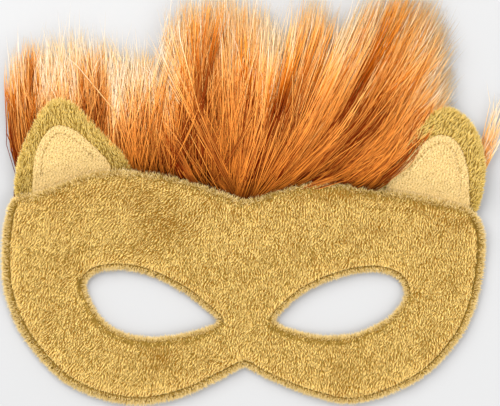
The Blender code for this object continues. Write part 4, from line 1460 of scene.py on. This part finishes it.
# The strip's section, as how far past the brow and how high, and its points along the brow
stripSettings = {
    "section": [(-4.0, 1.5), (3.0, 1.5), (3.2, 1.95), (3.0, 2.4), (-4.0, 2.4), (-4.2, 1.95)],
    "points": 120,
}


# Woven strip that carries the fur: a flat section carried along the brow
def maneStrip():
    brow = evenly(np.array(maskShape["brow"])[:-1], stripSettings["points"])
    section = np.array(stripSettings["section"])
    rings = np.stack([
        np.repeat(brow[:, :1], len(section), 1), brow[:, 1:] + section[:, 0],
        0.0 * brow[:, 1:] + section[:, 1],
    ], -1)
    numbers = np.arange(rings[..., 0].size).reshape(rings.shape[:2])
    fan = np.arange(1, len(section) - 1)
    ends = [
        np.column_stack([0 * fan + numbers[0, 0], numbers[0, fan + 1], numbers[0, fan]]),
        np.column_stack([0 * fan + numbers[-1, 0], numbers[-1, fan], numbers[-1, fan + 1]]),
    ]
    faces = np.vstack([gridFaces(np.hstack([numbers, numbers[:, :1]])), *ends])
    return makePiece("mane_strip", rings.reshape(-1, 3), faces, stripWeave, merge=True, smooth=False)


strip = maneStrip()
print("mane made")

# Floor, light and camera

studio = {
    "pictureWidth": 206.5,
    "pictureCentre": (2.3, 48.3),
    "cameraHeight": 900.0,
    "focusHeight": 4.0,
    "floorColour": (0.435, 0.435, 0.437),
    "skyStrength": 0.87,
    "keyPlace": (-260.0, 460.0, 620.0),
    "keySize": 700.0,
    "keyEnergy": 8.0,
    "fillPlace": (420.0, -260.0, 560.0),
    "fillSize": 560.0,
    "fillEnergy": 3.2,
    "lampAim": (0.0, 40.0, 0.0),
    "floorHalf": 3.0,  # metres
    "sensor": 36.0,
}


# A grey floor, two lamps that face the middle of the mask, an even sky and the camera straight above,
# with lens = sensor * distance / width of the picture
def makeStudio():
    scene = bpy.context.scene
    scene.view_settings.view_transform = "Standard"
    floorMesh = bpy.data.meshes.new("floor")
    half = studio["floorHalf"]
    corners = [(-half, -half, 0.0), (half, -half, 0.0), (half, half, 0.0), (-half, half, 0.0)]
    floorMesh.from_pydata(corners, [], [(0, 1, 2, 3)])
    floor = bpy.data.objects.new("floor", floorMesh)
    scene.collection.objects.link(floor)
    paint, _, _, shader = newMaterial("paleFloor", 0.9, 0.1)
    shader.inputs["Base Color"].default_value = (*studio["floorColour"], 1.0)
    floorMesh.materials.append(paint)
    for name in ("key", "fill"):
        lamp = bpy.data.lights.new(name, "AREA")
        lamp.size = studio[name + "Size"] * mm
        lamp.energy = studio[name + "Energy"]
        holder = bpy.data.objects.new(name, lamp)
        place = np.array(studio[name + "Place"])
        holder.location = place * mm
        aim = np.array(studio["lampAim"]) - place
        flat = math.hypot(aim[0], aim[1])
        turn = math.atan2(aim[1], aim[0]) - math.pi / 2.0
        holder.rotation_euler = (math.atan2(flat, -aim[2]), 0.0, turn)
        scene.collection.objects.link(holder)
    world = bpy.data.worlds.new("sky")
    world.use_nodes = True
    sky = world.node_tree.nodes["Background"]
    sky.inputs["Color"].default_value = (1.0, 1.0, 1.0, 1.0)
    sky.inputs["Strength"].default_value = studio["skyStrength"]
    scene.world = world
    camera = bpy.data.objects.new("camera", bpy.data.cameras.new("camera"))
    camera.data.sensor_width = studio["sensor"]
    away = studio["cameraHeight"] - studio["focusHeight"]
    camera.data.lens = studio["sensor"] * away / studio["pictureWidth"]
    centreX, centreY = studio["pictureCentre"]
    camera.location = (centreX * mm, centreY * mm, studio["cameraHeight"] * mm)
    scene.collection.objects.link(camera)
    scene.camera = camera


makeStudio()
print("studio made")
